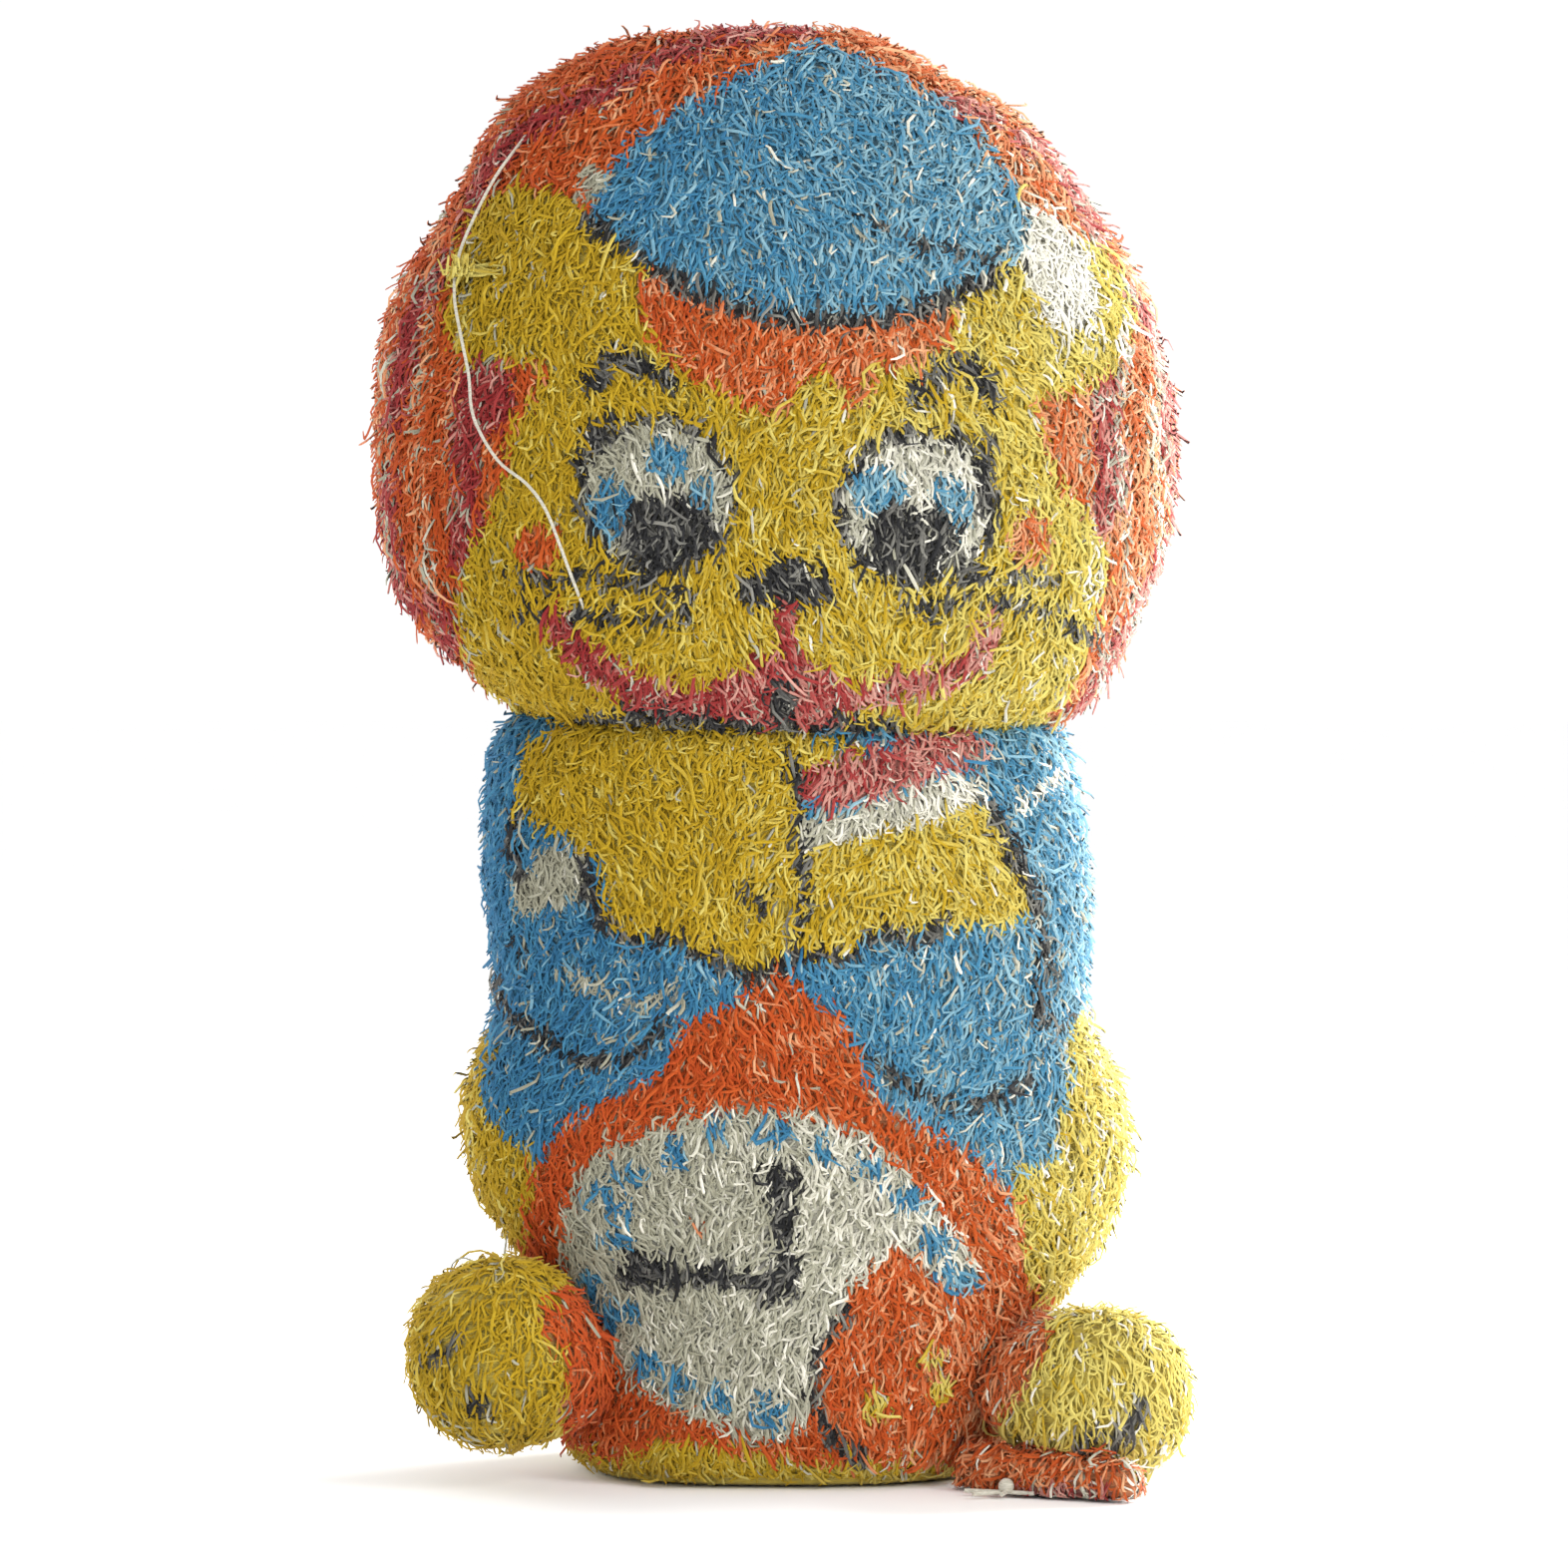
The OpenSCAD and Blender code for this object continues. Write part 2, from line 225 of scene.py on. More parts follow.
def knit_material(name):
    """Ground knit under the pile: rows of small stitches, in the picture's colours."""
    material, nodes, links, shader = new_material(name, 0.95, 0.1)
    picture = nodes.new("ShaderNodeVertexColor")
    picture.layer_name = "picture"
    wool = noise(nodes, links, 900, 4)
    shade = colour_ramp(nodes, [(0.3, (0.8, 0.8, 0.8)), (0.75, (1.0, 1.0, 1.0))])
    links.new(wool.outputs["Fac"], shade.inputs["Fac"])
    mix = nodes.new("ShaderNodeMix")
    mix.data_type = "RGBA"
    mix.blend_type = "MULTIPLY"
    mix.inputs["Factor"].default_value = 1
    links.new(picture.outputs["Color"], mix.inputs[6])
    links.new(shade.outputs["Color"], mix.inputs[7])
    links.new(mix.outputs[2], shader.inputs["Base Color"])
    coordinates = nodes.new("ShaderNodeTexCoord")
    rows = nodes.new("ShaderNodeTexWave")
    rows.bands_direction = "Z"
    rows.inputs["Scale"].default_value = 260
    rows.inputs["Distortion"].default_value = 2
    links.new(coordinates.outputs["Object"], rows.inputs["Vector"])
    add_bump(nodes, links, shader, rows.outputs["Fac"], 0.6, 0.0006)
    return material


def fibre_material(name, dark, light, scale, roughness=0.95, stretch=None, bump=0.5):
    """Wadding, thread, card or woven cloth: a noise between two shades, and the same noise as bump."""
    material, nodes, links, shader = new_material(name, roughness, 0.15)
    grain = noise(nodes, links, scale, 5, stretch)
    shades = colour_ramp(nodes, [(0.3, srgb(dark)), (0.7, srgb(light))])
    links.new(grain.outputs["Fac"], shades.inputs["Fac"])
    links.new(shades.outputs["Color"], shader.inputs["Base Color"])
    add_bump(nodes, links, shader, grain.outputs["Fac"], bump, 0.0003)
    return material


def woven_material(name, dark, light, threads_per_m):
    """Plain weave: two crossed waves, one along the height and one round the tube."""
    material, nodes, links, shader = new_material(name, 0.9, 0.1)
    coordinates = nodes.new("ShaderNodeTexCoord")
    waves = []
    for direction in ("X", "Z"):
        wave = nodes.new("ShaderNodeTexWave")
        wave.bands_direction = direction
        wave.inputs["Scale"].default_value = threads_per_m
        wave.inputs["Distortion"].default_value = 1.5
        links.new(coordinates.outputs["Object"], wave.inputs["Vector"])
        waves.append(wave.outputs["Fac"])
    weave = math_node(nodes, links, "MULTIPLY", *waves)
    shades = colour_ramp(nodes, [(0.0, srgb(dark)), (0.6, srgb(light))])
    links.new(weave, shades.inputs["Fac"])
    links.new(shades.outputs["Color"], shader.inputs["Base Color"])
    add_bump(nodes, links, shader, weave, 0.5, 0.0003)
    return material


PILE = {colour: pile_material(colour) for colour in COLOURS}
KNIT = knit_material("ground knit")
THREAD = fibre_material("sewing thread", "A8A494", "D2CEC0", 900, 0.7, (1, 1, 4))
YELLOW_THREAD = fibre_material("yellow thread", "B8900C", "EBD56A", 900, 0.8, (1, 1, 4))
WADDING = fibre_material("wadding", "CFCBBE", "F2F0E8", 160)
CARD = fibre_material("grey card", "8C7553", "B59B74", 260, 0.8, (1, 1, 0.2), 0.3)
LINING = woven_material("cotton lining", "B9B29C", "E9E4D2", 700)


# ---- Meshes ----

def new_object(name, data):
    obj = bpy.data.objects.new(name, data)
    scene.collection.objects.link(obj)
    return obj


def mesh_object(name, vertices, faces, material):
    """Mesh object from millimetres, with smooth shading."""
    mesh = bpy.data.meshes.new(name)
    mesh.from_pydata((np.asarray(vertices, float) * MM).tolist(), [], [tuple(f) for f in faces])
    mesh.update()
    mesh.shade_smooth()
    mesh.materials.append(material)
    return new_object(name, mesh)


def coordinates_of(obj):
    found = np.zeros(len(obj.data.vertices) * 3)
    obj.data.vertices.foreach_get("co", found)
    return found.reshape(-1, 3) / MM


def set_coordinates(obj, points):
    obj.data.vertices.foreach_set("co", (points * MM).ravel())
    obj.data.update()


def keep_modifiers(obj):
    """Applies all modifiers of obj to its mesh."""
    graph = bpy.context.evaluated_depsgraph_get()
    made = bpy.data.meshes.new_from_object(obj.evaluated_get(graph))
    obj.modifiers.clear()
    obj.data = made
    made.shade_smooth()


def loft_faces(rings, columns):
    """Faces of a closed loft: quads between its rings of points, and a cap at each end."""
    faces = []
    for i in range(rings - 1):
        for j in range(columns):
            k = (j + 1) % columns
            here, after = i * columns, (i + 1) * columns
            faces.append((here + j, here + k, after + k, after + j))
    last = (rings - 1) * columns
    faces.append(tuple(range(columns))[::-1])
    faces.append(tuple(last + j for j in range(columns)))
    return faces


def lofted(name, levels, columns=80):
    """Closed skin through levels of height, left and right half width, half depth and squareness."""
    rows = smooth(levels, 3)
    angles = np.arange(columns) * 2 * math.pi / columns
    c, s = np.cos(angles), np.sin(angles)
    points = []
    for z, left, right, depth, squareness in rows:
        x = np.sign(c) * np.abs(c) ** (2 / squareness) * np.where(c > 0, right, left)
        y = np.sign(s) * np.abs(s) ** (2 / squareness) * depth
        points.extend(np.column_stack([x, y, np.full(columns, z)]))
    return mesh_object(name, points, loft_faces(len(rows), columns), KNIT)


def even_mesh(obj, voxel, passes=0):
    """Voxel remesh of obj, and as many smoothing passes."""
    remesh = obj.modifiers.new("even mesh", "REMESH")
    remesh.mode = "VOXEL"
    remesh.voxel_size = voxel * MM
    if passes:
        even = obj.modifiers.new("even out", "SMOOTH")
        even.iterations = passes
    keep_modifiers(obj)


cloth_frames = 20             # how long the skins take to blow up


def inflate(obj, voxel, cap, pinned):
    """Even mesh, then Cloth with pressure. pinned(points) is how firmly each point is sewn down,
    and no point moves further than cap."""
    even_mesh(obj, voxel, 4)
    rest = coordinates_of(obj)
    group = obj.vertex_groups.new(name="sewn")
    for index, weight in enumerate(pinned(rest)):
        if weight > 0.01:
            group.add([index], float(weight), "REPLACE")
    cloth = obj.modifiers.new("blown up", "CLOTH")
    settings = cloth.settings
    settings.quality = 4
    settings.mass = 0.2
    settings.tension_stiffness = 12
    settings.compression_stiffness = 12
    settings.shear_stiffness = 6
    settings.bending_stiffness = 0.4
    settings.air_damping = 3
    settings.use_pressure = True
    settings.uniform_pressure_force = 4
    settings.vertex_group_mass = "sewn"
    settings.effector_weights.gravity = 0
    for number in range(1, cloth_frames + 1):
        scene.frame_set(number)
    graph = bpy.context.evaluated_depsgraph_get()
    moved = np.array([v.co[:] for v in obj.evaluated_get(graph).data.vertices]) / MM
    obj.modifiers.clear()
    scene.frame_set(1)
    step = moved - rest
    length = np.linalg.norm(step, axis=1, keepdims=True)
    set_coordinates(obj, rest + step * np.minimum(1, cap / np.maximum(length, 1e-6)))
    obj.vertex_groups.clear()
    finer = obj.modifiers.new("finer", "SUBSURF")
    finer.levels = 1
    keep_modifiers(obj)
    return obj


def keep_faces(obj, keep, name):
    """Copy of obj under this name, with only the faces that keep(centres) is true for."""
    mesh = obj.data
    centres = np.zeros(len(mesh.polygons) * 3)
    mesh.polygons.foreach_get("center", centres)
    kept = keep(centres.reshape(-1, 3) / MM)
    points = coordinates_of(obj)
    faces = [tuple(p.vertices) for p, k in zip(mesh.polygons, kept) if k]
    used = sorted({v for f in faces for v in f})
    place = {v: i for i, v in enumerate(used)}
    faces = [tuple(place[v] for v in f) for f in faces]
    return mesh_object(name, points[used], faces, mesh.materials[0])


def tube_mesh(paths, radius, sides=6):
    """Vertices and faces of round tubes along paths. radius(t) is at part t of a path, 0 to 1."""
    points, faces = [], []
    turns = np.arange(sides) * 2 * math.pi / sides
    for path in paths:
        path = np.asarray(path, float)
        along = np.gradient(path, axis=0)
        along /= np.maximum(np.linalg.norm(along, axis=1, keepdims=True), 1e-9)
        across = np.cross(along, [0.13, 0.97, 0.2])
        across /= np.linalg.norm(across, axis=1, keepdims=True)
        third = np.cross(along, across)
        start = len(points)
        last = len(path) - 1
        for i in range(len(path)):
            r = radius(i / last)
            for a in turns:
                points.append(path[i] + r * (math.cos(a) * across[i] + math.sin(a) * third[i]))
        for i in range(last):
            for j in range(sides):
                k = (j + 1) % sides
                low, high = start + i * sides, start + (i + 1) * sides
                faces.append((low + j, low + k, high + k, high + j))
        faces.append(tuple(start + j for j in range(sides))[::-1])
        faces.append(tuple(start + last * sides + j for j in range(sides)))
    return points, faces


# ---- The picture that is knitted in ----

def area(*points):
    """Inside of a smooth closed outline."""
    outline = smooth(points, 4, closed=True)

    def inside(x, z):
        found = np.zeros(len(x), bool)
        for (x0, z0), (x1, z1) in zip(outline, np.roll(outline, -1, axis=0)):
            crosses = (z0 > z) != (z1 > z)
            with np.errstate(divide="ignore", invalid="ignore"):
                at = x0 + (z - z0) * (x1 - x0) / (z1 - z0)
            found ^= crosses & (x < at)
        return found
    return inside


bleed = 0.3                   # yarn spreads this far past a knitted line


def stroke(width, *points):
    """Line of this width along a smooth curve."""
    line = smooth(points, 4) if len(points) > 2 else np.array(points, float)

    def near(x, z):
        best = np.full(len(x), 1e9)
        for a, b in zip(line[:-1], line[1:]):
            along = b - a
            t = np.clip(((x - a[0]) * along[0] + (z - a[1]) * along[1]) / (along @ along), 0, 1)
            best = np.minimum(best, np.hypot(x - a[0] - t * along[0], z - a[1] - t * along[1]))
        return best < width / 2 + bleed
    return near


def spot(x0, z0, half_x, half_z):
    return lambda x, z: ((x - x0) / half_x) ** 2 + ((z - z0) / half_z) ** 2 < 1


def everywhere(x, z):
    return np.ones(len(x), bool)


def below(height):
    return lambda x, z: z < height


MANE = [
    ("orange", everywhere),
    ("red", stroke(3.6, (-59, 237), (-57, 247), (-50, 256), (-36, 263), (-24, 270), (-8, 275), (4, 276))),
    ("red", stroke(3.2, (-64, 231), (-70, 221), (-73, 206), (-74, 201))),
    ("red", spot(-56, 206, 6, 7)),
    ("red", stroke(4.4, (-60.4, 199), (-59.7, 187), (-61, 176))),
    ("red", stroke(3, (-66, 169), (-63, 158))),
    ("red", stroke(3, (-75, 192), (-74, 176), (-70, 166))),
    ("red", stroke(3, (30, 262), (40, 258))),
    ("red", stroke(3, (44, 255), (52, 249), (59, 236))),
    ("red", stroke(2.8, (64, 226), (70, 217), (72, 200))),
    ("red", stroke(4.8, (60, 211), (59.3, 200), (61, 191), (59, 182))),
    ("red", stroke(3.2, (71, 199), (74, 185), (68, 170), (61, 158), (55, 146))),
]

FACE = [
    # left ear, right ear and face
    ("yellow", area((-60.4, 237), (-55, 244), (-45, 245), (-36, 239), (-27, 230), (-23, 214),
                    (-40, 211), (-59, 213), (-64, 223))),
    ("yellow", area((42, 243), (52, 238), (61, 232), (65, 220), (61, 211), (48, 205), (36, 212),
                    (34, 230))),
    ("white", area((44, 242), (55, 236), (58, 224), (56, 218), (49, 219), (44, 231))),
    ("yellow", area((-48, 205), (-53, 190), (-57.5, 180), (-62, 167), (-58, 154), (-47, 144),
                    (-30, 139), (0, 136), (27, 138), (42, 140), (49, 146), (56.5, 158), (59, 168),
                    (59, 179), (49, 193), (45, 208), (38, 222), (0, 230), (-26, 224), (-40, 214))),
    # forelock
    ("orange", area((-27, 226), (-24, 215), (-15, 208), (-5, 203), (-1, 202), (3, 208), (8, 210),
                    (12, 203), (17, 210), (28, 213), (31, 224), (15, 228), (-10, 230))),
    # cap with its underline and its one visible seam
    ("black", area((-38, 240), (-28, 230), (-17, 223), (0, 218), (15, 218.2), (31, 222), (42, 229.5),
                   (40, 236), (0, 240))),
    ("blue", area((-36, 243), (-27, 255), (-14, 264), (0, 271), (7, 273.5), (20, 267), (34, 258),
                  (44, 242), (44, 233), (36, 229), (25, 223), (12, 221), (-3, 222), (-18, 227),
                  (-30, 235))),
    ("black", stroke(1.1, (15, 239), (25, 234), (37, 231))),
    ("white", spot(-36.5, 246, 2.8, 4)),
    # cheeks
    ("orange", spot(-46.2, 177.8, 4.2, 3.6)),
    ("orange", spot(45.2, 179.2, 3.8, 4.6)),
]

EYES = [
    ("black", spot(-23.9, 187.2, 14.8, 14.8)),
    ("white", spot(-23.9, 187.2, 13.4, 13.2)),
    ("blue", spot(-22, 193.4, 3.4, 3.6)),
    ("blue", spot(-32.6, 184.3, 3.6, 5.4)),
    ("blue", spot(-15.6, 187.5, 2, 2)),
    ("black", spot(-21.9, 180.4, 9, 7)),
    ("black", spot(24.1, 184.9, 15.4, 14.6)),
    ("white", spot(24.1, 184.9, 13.6, 12.6)),
    ("blue", spot(17, 188, 5.2, 4.6)),
    ("blue", spot(30.4, 184.7, 4.2, 5)),
    ("black", spot(23.2, 179.4, 8.4, 6.8)),
    ("white", spot(24, 187, 2, 2.6)),
    # brows and lashes
    ("black", stroke(3.2, (-36, 208), (-32, 212), (-27, 211), (-21.7, 208.4))),
    ("black", stroke(3.4, (24.3, 205), (30, 210.4), (34.2, 210.7), (38.2, 205.8))),
    ("black", stroke(2, (-32, 202), (-35.7, 198), (-37.6, 194))),
    ("black", spot(31.7, 198.6, 1.8, 1.6)),
    ("black", stroke(2, (38.2, 198), (36.5, 192), (37.4, 184))),
]

MUZZLE = [
    ("black", spot(-5.3, 169.7, 3.6, 3.2)),
    ("black", spot(0.2, 172.3, 4.6, 3.6)),
    ("black", spot(5.3, 170.2, 3.8, 3.4)),
    ("black", spot(0.4, 168, 3, 2.6)),
    ("black", stroke(1.6, (-50, 172), (-43, 171.2), (-35.5, 172.3), (-27, 170), (-17, 168.7))),
    ("black", stroke(1.6, (-51, 164.4), (-44, 165.4), (-35.7, 165), (-29, 164.4), (-18, 165))),
    ("black", stroke(1.6, (20, 172), (37, 172.5), (51, 171.4))),
    ("black", stroke(1.6, (22, 166.6), (35, 167.4), (48, 166), (57, 160.6))),
    ("red", stroke(3, (0.2, 165), (0.4, 157.7))),
    ("red", stroke(4.6, (-42.4, 163.4), (-35, 155), (-20.5, 149.4), (-10, 151), (0, 157.7))),
    ("red", stroke(4.2, (0, 157.7), (10, 150.3), (24.3, 152.6), (35, 156), (37.6, 162.5))),
    ("red", area((-12, 152), (0, 158), (11, 151), (9, 144), (0, 141.5), (-9, 144))),
    ("black", spot(-0.6, 149.4, 2.8, 4.6)),
    ("black", stroke(2.2, (-40, 145), (-30, 146.8), (-18, 146.4), (0, 143.6), (12, 145), (22, 143.6))),
]

PAWS = [
    ("yellow", area((-43, 143), (-50, 133), (-48, 125), (-37, 120), (-34.6, 116), (-32, 106),
                    (-20, 103.4), (-8.6, 98.4), (-1, 100), (2.3, 106), (2.8, 125), (2.3, 148))),
    ("yellow", area((2, 122), (16, 124), (32, 127), (38, 127), (45.6, 113), (43, 107), (30, 105.5),
                    (16, 105.5), (10, 101), (1, 101.5))),
    ("yellow", spot(8.4, 138.5, 6, 3)),
    ("red", area((3, 135), (12, 138.4), (22, 141), (32, 144), (37, 141), (36, 137), (25.5, 133),
                 (12, 128.5), (4, 129.5))),
    ("white", area((2.4, 127), (11, 127.5), (25, 132.6), (37, 134.8), (36, 129), (26, 125.4),
                   (12, 122.4), (3, 120.6))),
    ("white", area((-44, 121), (-38, 119.4), (-37.4, 112), (-46.6, 108), (-51, 109), (-50.5, 115))),
    ("white", stroke(1.8, (43.7, 127.5), (52, 134.5))),
    ("white", stroke(1.6, (-42, 97), (-33, 93.6), (-27.4, 91.6), (-20, 94))),
]

JACKET_LINES = [
    ("black", stroke(1.8, (-50.6, 127), (-51.5, 122), (-50, 115))),
    ("black", stroke(1.6, (0.8, 138), (2, 131), (2.7, 121), (3.6, 113), (2.3, 105.5))),
    ("black", stroke(1.8, (-7.2, 112.5), (-3.4, 109))),
    ("black", stroke(1.9, (-37.4, 118), (-35.6, 109), (-29, 103.4), (-23, 104), (-15, 100.6),
                     (-6, 96.7), (2, 101), (12, 100.4), (17.5, 105.6), (25.5, 103.6), (30, 108))),
    ("black", stroke(2, (38, 129), (43.3, 119), (47.3, 108), (48.6, 98), (47, 89))),
    ("black", stroke(1.4, (46, 87.6), (53, 86.6))),
    ("black", stroke(1.9, (-56, 95.6), (-50, 87), (-40.5, 81.5), (-30.6, 80.4), (-22.4, 88.4))),
    ("black", stroke(1.5, (14.6, 82.7), (22.6, 76.4), (33, 72), (47, 77))),
    ("black", spot(-50, 102, 1, 1)),
    ("black", spot(-50, 98, 1, 1)),
]

CLOCK = [
    # case and shoe in orange, from the point between the two sides of the jacket down to the hem
    ("orange", area((-3, 99), (5, 93), (12, 87), (16, 75), (28, 67.5), (38, 60), (44, 50),
                    (45.6, 38), (54, 30), (52, 19), (46, 9), (36, 3.6), (20, 5), (2, 5.4), (-18, 8.6),
                    (-34, 5.4), (-43, 8), (-42, 20), (-49, 33), (-48.6, 48), (-46, 62), (-38, 71),
                    (-24, 78), (-18, 88), (-8, 93))),
    ("white", area((-39, 59), (-27, 67.6), (-7, 72.4), (10, 69), (22, 61), (31, 49), (35, 40.7),
                   (30, 38), (22, 45.6), (13, 39), (6.5, 27), (5, 17), (-1, 9), (-14, 12), (-26, 18),
                   (-34, 25), (-42, 41))),
    ("black", stroke(1.6, (12, 34.4), (7, 28), (5.3, 18), (8, 10.5), (15, 6))),
]
# Dabs where the hours stand: middle and half sizes
HOURS = [
    (-21, 63.7, 1.9, 3.3), (-13, 68.4, 2.1, 2.4), (-2.3, 67.5, 3.4, 2.4), (7, 64.8, 2.1, 2.4),
    (15.8, 61, 2.8, 2.4), (22.6, 55, 3.3, 2.4), (28, 46.7, 2.8, 2.4), (30, 40.7, 2.2, 1.9),
    (33.6, 38.8, 3.2, 1.9), (-28.5, 59.3, 2.8, 2), (-34.4, 56, 2.5, 2), (-30.6, 52, 2, 1.5),
    (-32.3, 47, 3.3, 1.5), (-37, 38, 2.8, 2), (-30, 32.7, 2.6, 1.8), (-33.8, 30.4, 2.4, 2),
    (-25.7, 23.2, 2.4, 2.4), (-19.8, 19.4, 2.4, 2), (-12.5, 17.3, 2.2, 2.4), (-2.9, 15, 2.8, 3.3),
]
CLOCK += [("blue", spot(*hour)) for hour in HOURS]
CLOCK += [
    ("black", spot(-1.1, 59, 3.6, 3)),
    ("black", stroke(3, (-1, 60), (-0.6, 48), (0.4, 39))),
    ("black", spot(-26.8, 41.2, 4.5, 3.5)),
    ("black", stroke(3.2, (-23, 41), (-5, 39.5))),
    ("black", spot(-1.3, 38.4, 3.8, 3.5)),
    ("orange", spot(-16, 49.4, 1.1, 1.1)),
    ("yellow", spot(27, 24, 2, 2)),
    ("yellow", spot(28.7, 18, 2.4, 2.4)),
    ("yellow", spot(41.8, 23.4, 2.8, 2.4)),
    ("yellow", spot(17, 15.6, 3, 2.4)),
]

HEAD_FRONT = MANE + FACE + EYES + MUZZLE


def mane_streaks(count, seed):
    """Uneven red streaks that run down the back of the mane."""
    rng = np.random.default_rng(seed)
    streaks = []
    for _ in range(count):
        x, z = rng.uniform(-66, 66), rng.uniform(172, 264)
        reach, lean = rng.uniform(14, 34), x / 8
        bend = rng.uniform(-4, 4)
        streaks.append(("red", stroke(rng.uniform(2, 4.6), (x, z), (x + lean / 2 + bend, z - reach / 2),
                                      (x + lean, z - reach))))
    return streaks


HEAD_BACK = [("orange", everywhere)] + mane_streaks(34, 5)
TORSO_FRONT = [
    ("blue", everywhere),
    ("yellow", area((-80, 84), (-56.5, 84), (-57.4, 75), (-54, 66), (-47, 62), (-44, 40), (-46, -9),
                    (-80, -9))),
    ("yellow", area((80, 90), (58, 90), (53, 82), (54, 77), (51, 70), (51, 63), (42, 57), (44, 40),
                    (50, -9), (80, -9))),
    ("yellow", below(12)),
] + PAWS + CLOCK + JACKET_LINES + [("yellow", below(4))]
TORSO_BACK = [
    ("blue", everywhere),
    ("yellow", area((-90, 84), (-58, 84), (-40, 70), (0, 63), (40, 70), (58, 88), (90, 88), (90, -20),
                    (-90, -20))),
    ("black", stroke(1.8, (-56, 84), (-40, 71), (0, 64), (40, 71), (57, 87))),
]
FEET = [
    ("yellow", everywhere),
    ("orange", area((28, 34), (46, 33), (50, 29), (45, 20), (41, 12), (36, 1), (26, -3))),
    ("orange", area((-28, 36), (-47, 34), (-41, 25), (-43, 14), (-41, 2), (-28, -3))),
    ("black", stroke(1.6, (-61, 29), (-67, 24))),
    ("black", stroke(1.6, (-59, 19), (-56, 16))),
    ("black", stroke(2.6, (61, 9.3), (66.7, 17.5))),
    ("black", stroke(2.4, (54.3, 5.1), (57.6, 11.8))),
]
FLAP = [("orange", everywhere), ("red", spot(52, 1, 9, 1.6))]


def painted(layers, x, z):
    """Number of the colour at each place, where a later layer covers an earlier one."""
    found = np.zeros(len(x), int)
    for colour, covers in layers:
        found[covers(x, z)] = COLOURS.index(colour)
    return found


def picture_at(points, front, back):
    """Colours for points, by the front picture before the side seams and the back one behind."""
    x, z = points[:, 0], points[:, 2]
    return np.where(points[:, 1] < 0, painted(front, x, z), painted(back, x, z))


def colour_skin(obj, front, back):
    """Writes the picture on the skin's points, halfway between the yarns' middle and pale shades: painted
    light that lifts the shaded gaps between the strands.
    """
    ground = np.array([srgb(YARNS[c][1]) for c in COLOURS])
    # painted light: the knit seen in the pile's shaded gaps is lifted towards the pale shade
    ground = (ground + [srgb(YARNS[c][2]) for c in COLOURS]) / 2
    shades = np.ones((len(obj.data.vertices), 4))
    shades[:, :3] = ground[picture_at(coordinates_of(obj), front, back)]
    layer = obj.data.color_attributes.new("picture", "FLOAT_COLOR", "POINT")
    layer.data.foreach_set("color", shades.ravel())


# ---- Skins ----

# Levels of each skin: height, left and right half width, half depth, squareness
HEAD_LEVELS = [
    (neck_z - 2.5, 20, 20, 14, 2.0),
    (neck_z - 1.5, 36, 38, 27, 2.1),
    (neck_z + 1, 48.5, 53.5, 34, 2.2),
    (neck_z + 5, 53.5, 59, 37.5, 2.2),
    (neck_z + 9, 58, 61, 40.5, 2.3),
    (neck_z + 15, 65.5, 63.5, 43, 2.3),
    (neck_z + 23, 72.5, 67.5, 45, 2.3),
    (neck_z + 34, 76.5, 72, 46, 2.3),
    (neck_z + 47, 77.8, 74, 46.5, 2.3),
    (neck_z + 60, 78, 73.4, 46, 2.3),
    (neck_z + 74, 77, 70.5, 44.5, 2.3),
    (neck_z + 86, 72, 66.5, 42, 2.3),
    (neck_z + 95, 66, 60, 39, 2.3),
    (neck_z + 104, 60.5, 54, 35, 2.3),
    (neck_z + 114, 56.5, 46.5, 29.5, 2.3),
    (neck_z + 123, 47.5, 31, 23, 2.2),
    (neck_z + 128, 38, 23, 18, 2.1),
    (neck_z + 131, 28, 17, 12, 2.0),
    (neck_z + 132, 10, 12, 6, 2.0),
]
TORSO_LEVELS = [
    (1.6, 38.5, 39, 32, 2.5),
    (2.4, 41, 41, 34.5, 2.5),
    (12, 42.5, 43.5, 35.5, 2.5),
    (29, 43, 48, 36, 2.4),
    (41, 49.5, 58, 36.5, 2.4),
    (54, 58.5, 64.5, 37, 2.4),
    (66, 61.5, 65.5, 37.3, 2.4),
    (76, 60.5, 63, 37, 2.4),
    (86.5, 55, 56.5, 36.5, 2.4),
    (101, 55.5, 57.5, 36, 2.4),
    (118, 57.2, 57.4, 35.5, 2.4),
    (132, 57, 55, 34.5, 2.3),
    (140, 56, 53.5, 33, 2.2),
    (145, 52.5, 51, 29.5, 2.1),
    (147.5, 43, 43, 24, 2.0),
    (148.5, 32, 32, 18, 2.0),
]
seam_reach = 2.5              # the side seams hold the cloth this far on each side
seam_grip = 0.8               # and this firmly
skin_voxel, skin_cap = 4.5, 3.5


def make_head():
    skin = lofted("head_whole", HEAD_LEVELS)

    def sewn(points):
        seam = seam_grip * (np.abs(points[:, 1]) < seam_reach)
        return np.maximum(seam, ramp(-points[:, 2], -neck_z - 6, -neck_z))
    return inflate(skin, skin_voxel, skin_cap, sewn)


def make_torso():
    skin = lofted("torso_whole", TORSO_LEVELS)

    def sewn(points):
        seam = seam_grip * (np.abs(points[:, 1]) < seam_reach)
        hem = ramp(-points[:, 2], -14, -9)
        neck = ramp(points[:, 2], neck_z - 6, neck_z)
        return np.maximum(np.maximum(seam, hem), neck)
    return inflate(skin, skin_voxel, skin_cap, sewn)


# Rings of a foot, from the ankle inside the torso's knit to the toe: place along the foot from
# its middle, and radius
FOOT_RINGS = [
    (-23, 5), (-22.5, 8), (-18, 9.5), (-14, 12.5), (-9, 15.3), (-3, 16.6), (3, 16.4), (8, 14.6), (12, 11.4),
    (14.5, 7), (15.4, 2.5),
]
foot_turn = math.radians(30)  # how far a foot points forward of sideways
foot_columns = 28
ankle_from_middle = 17


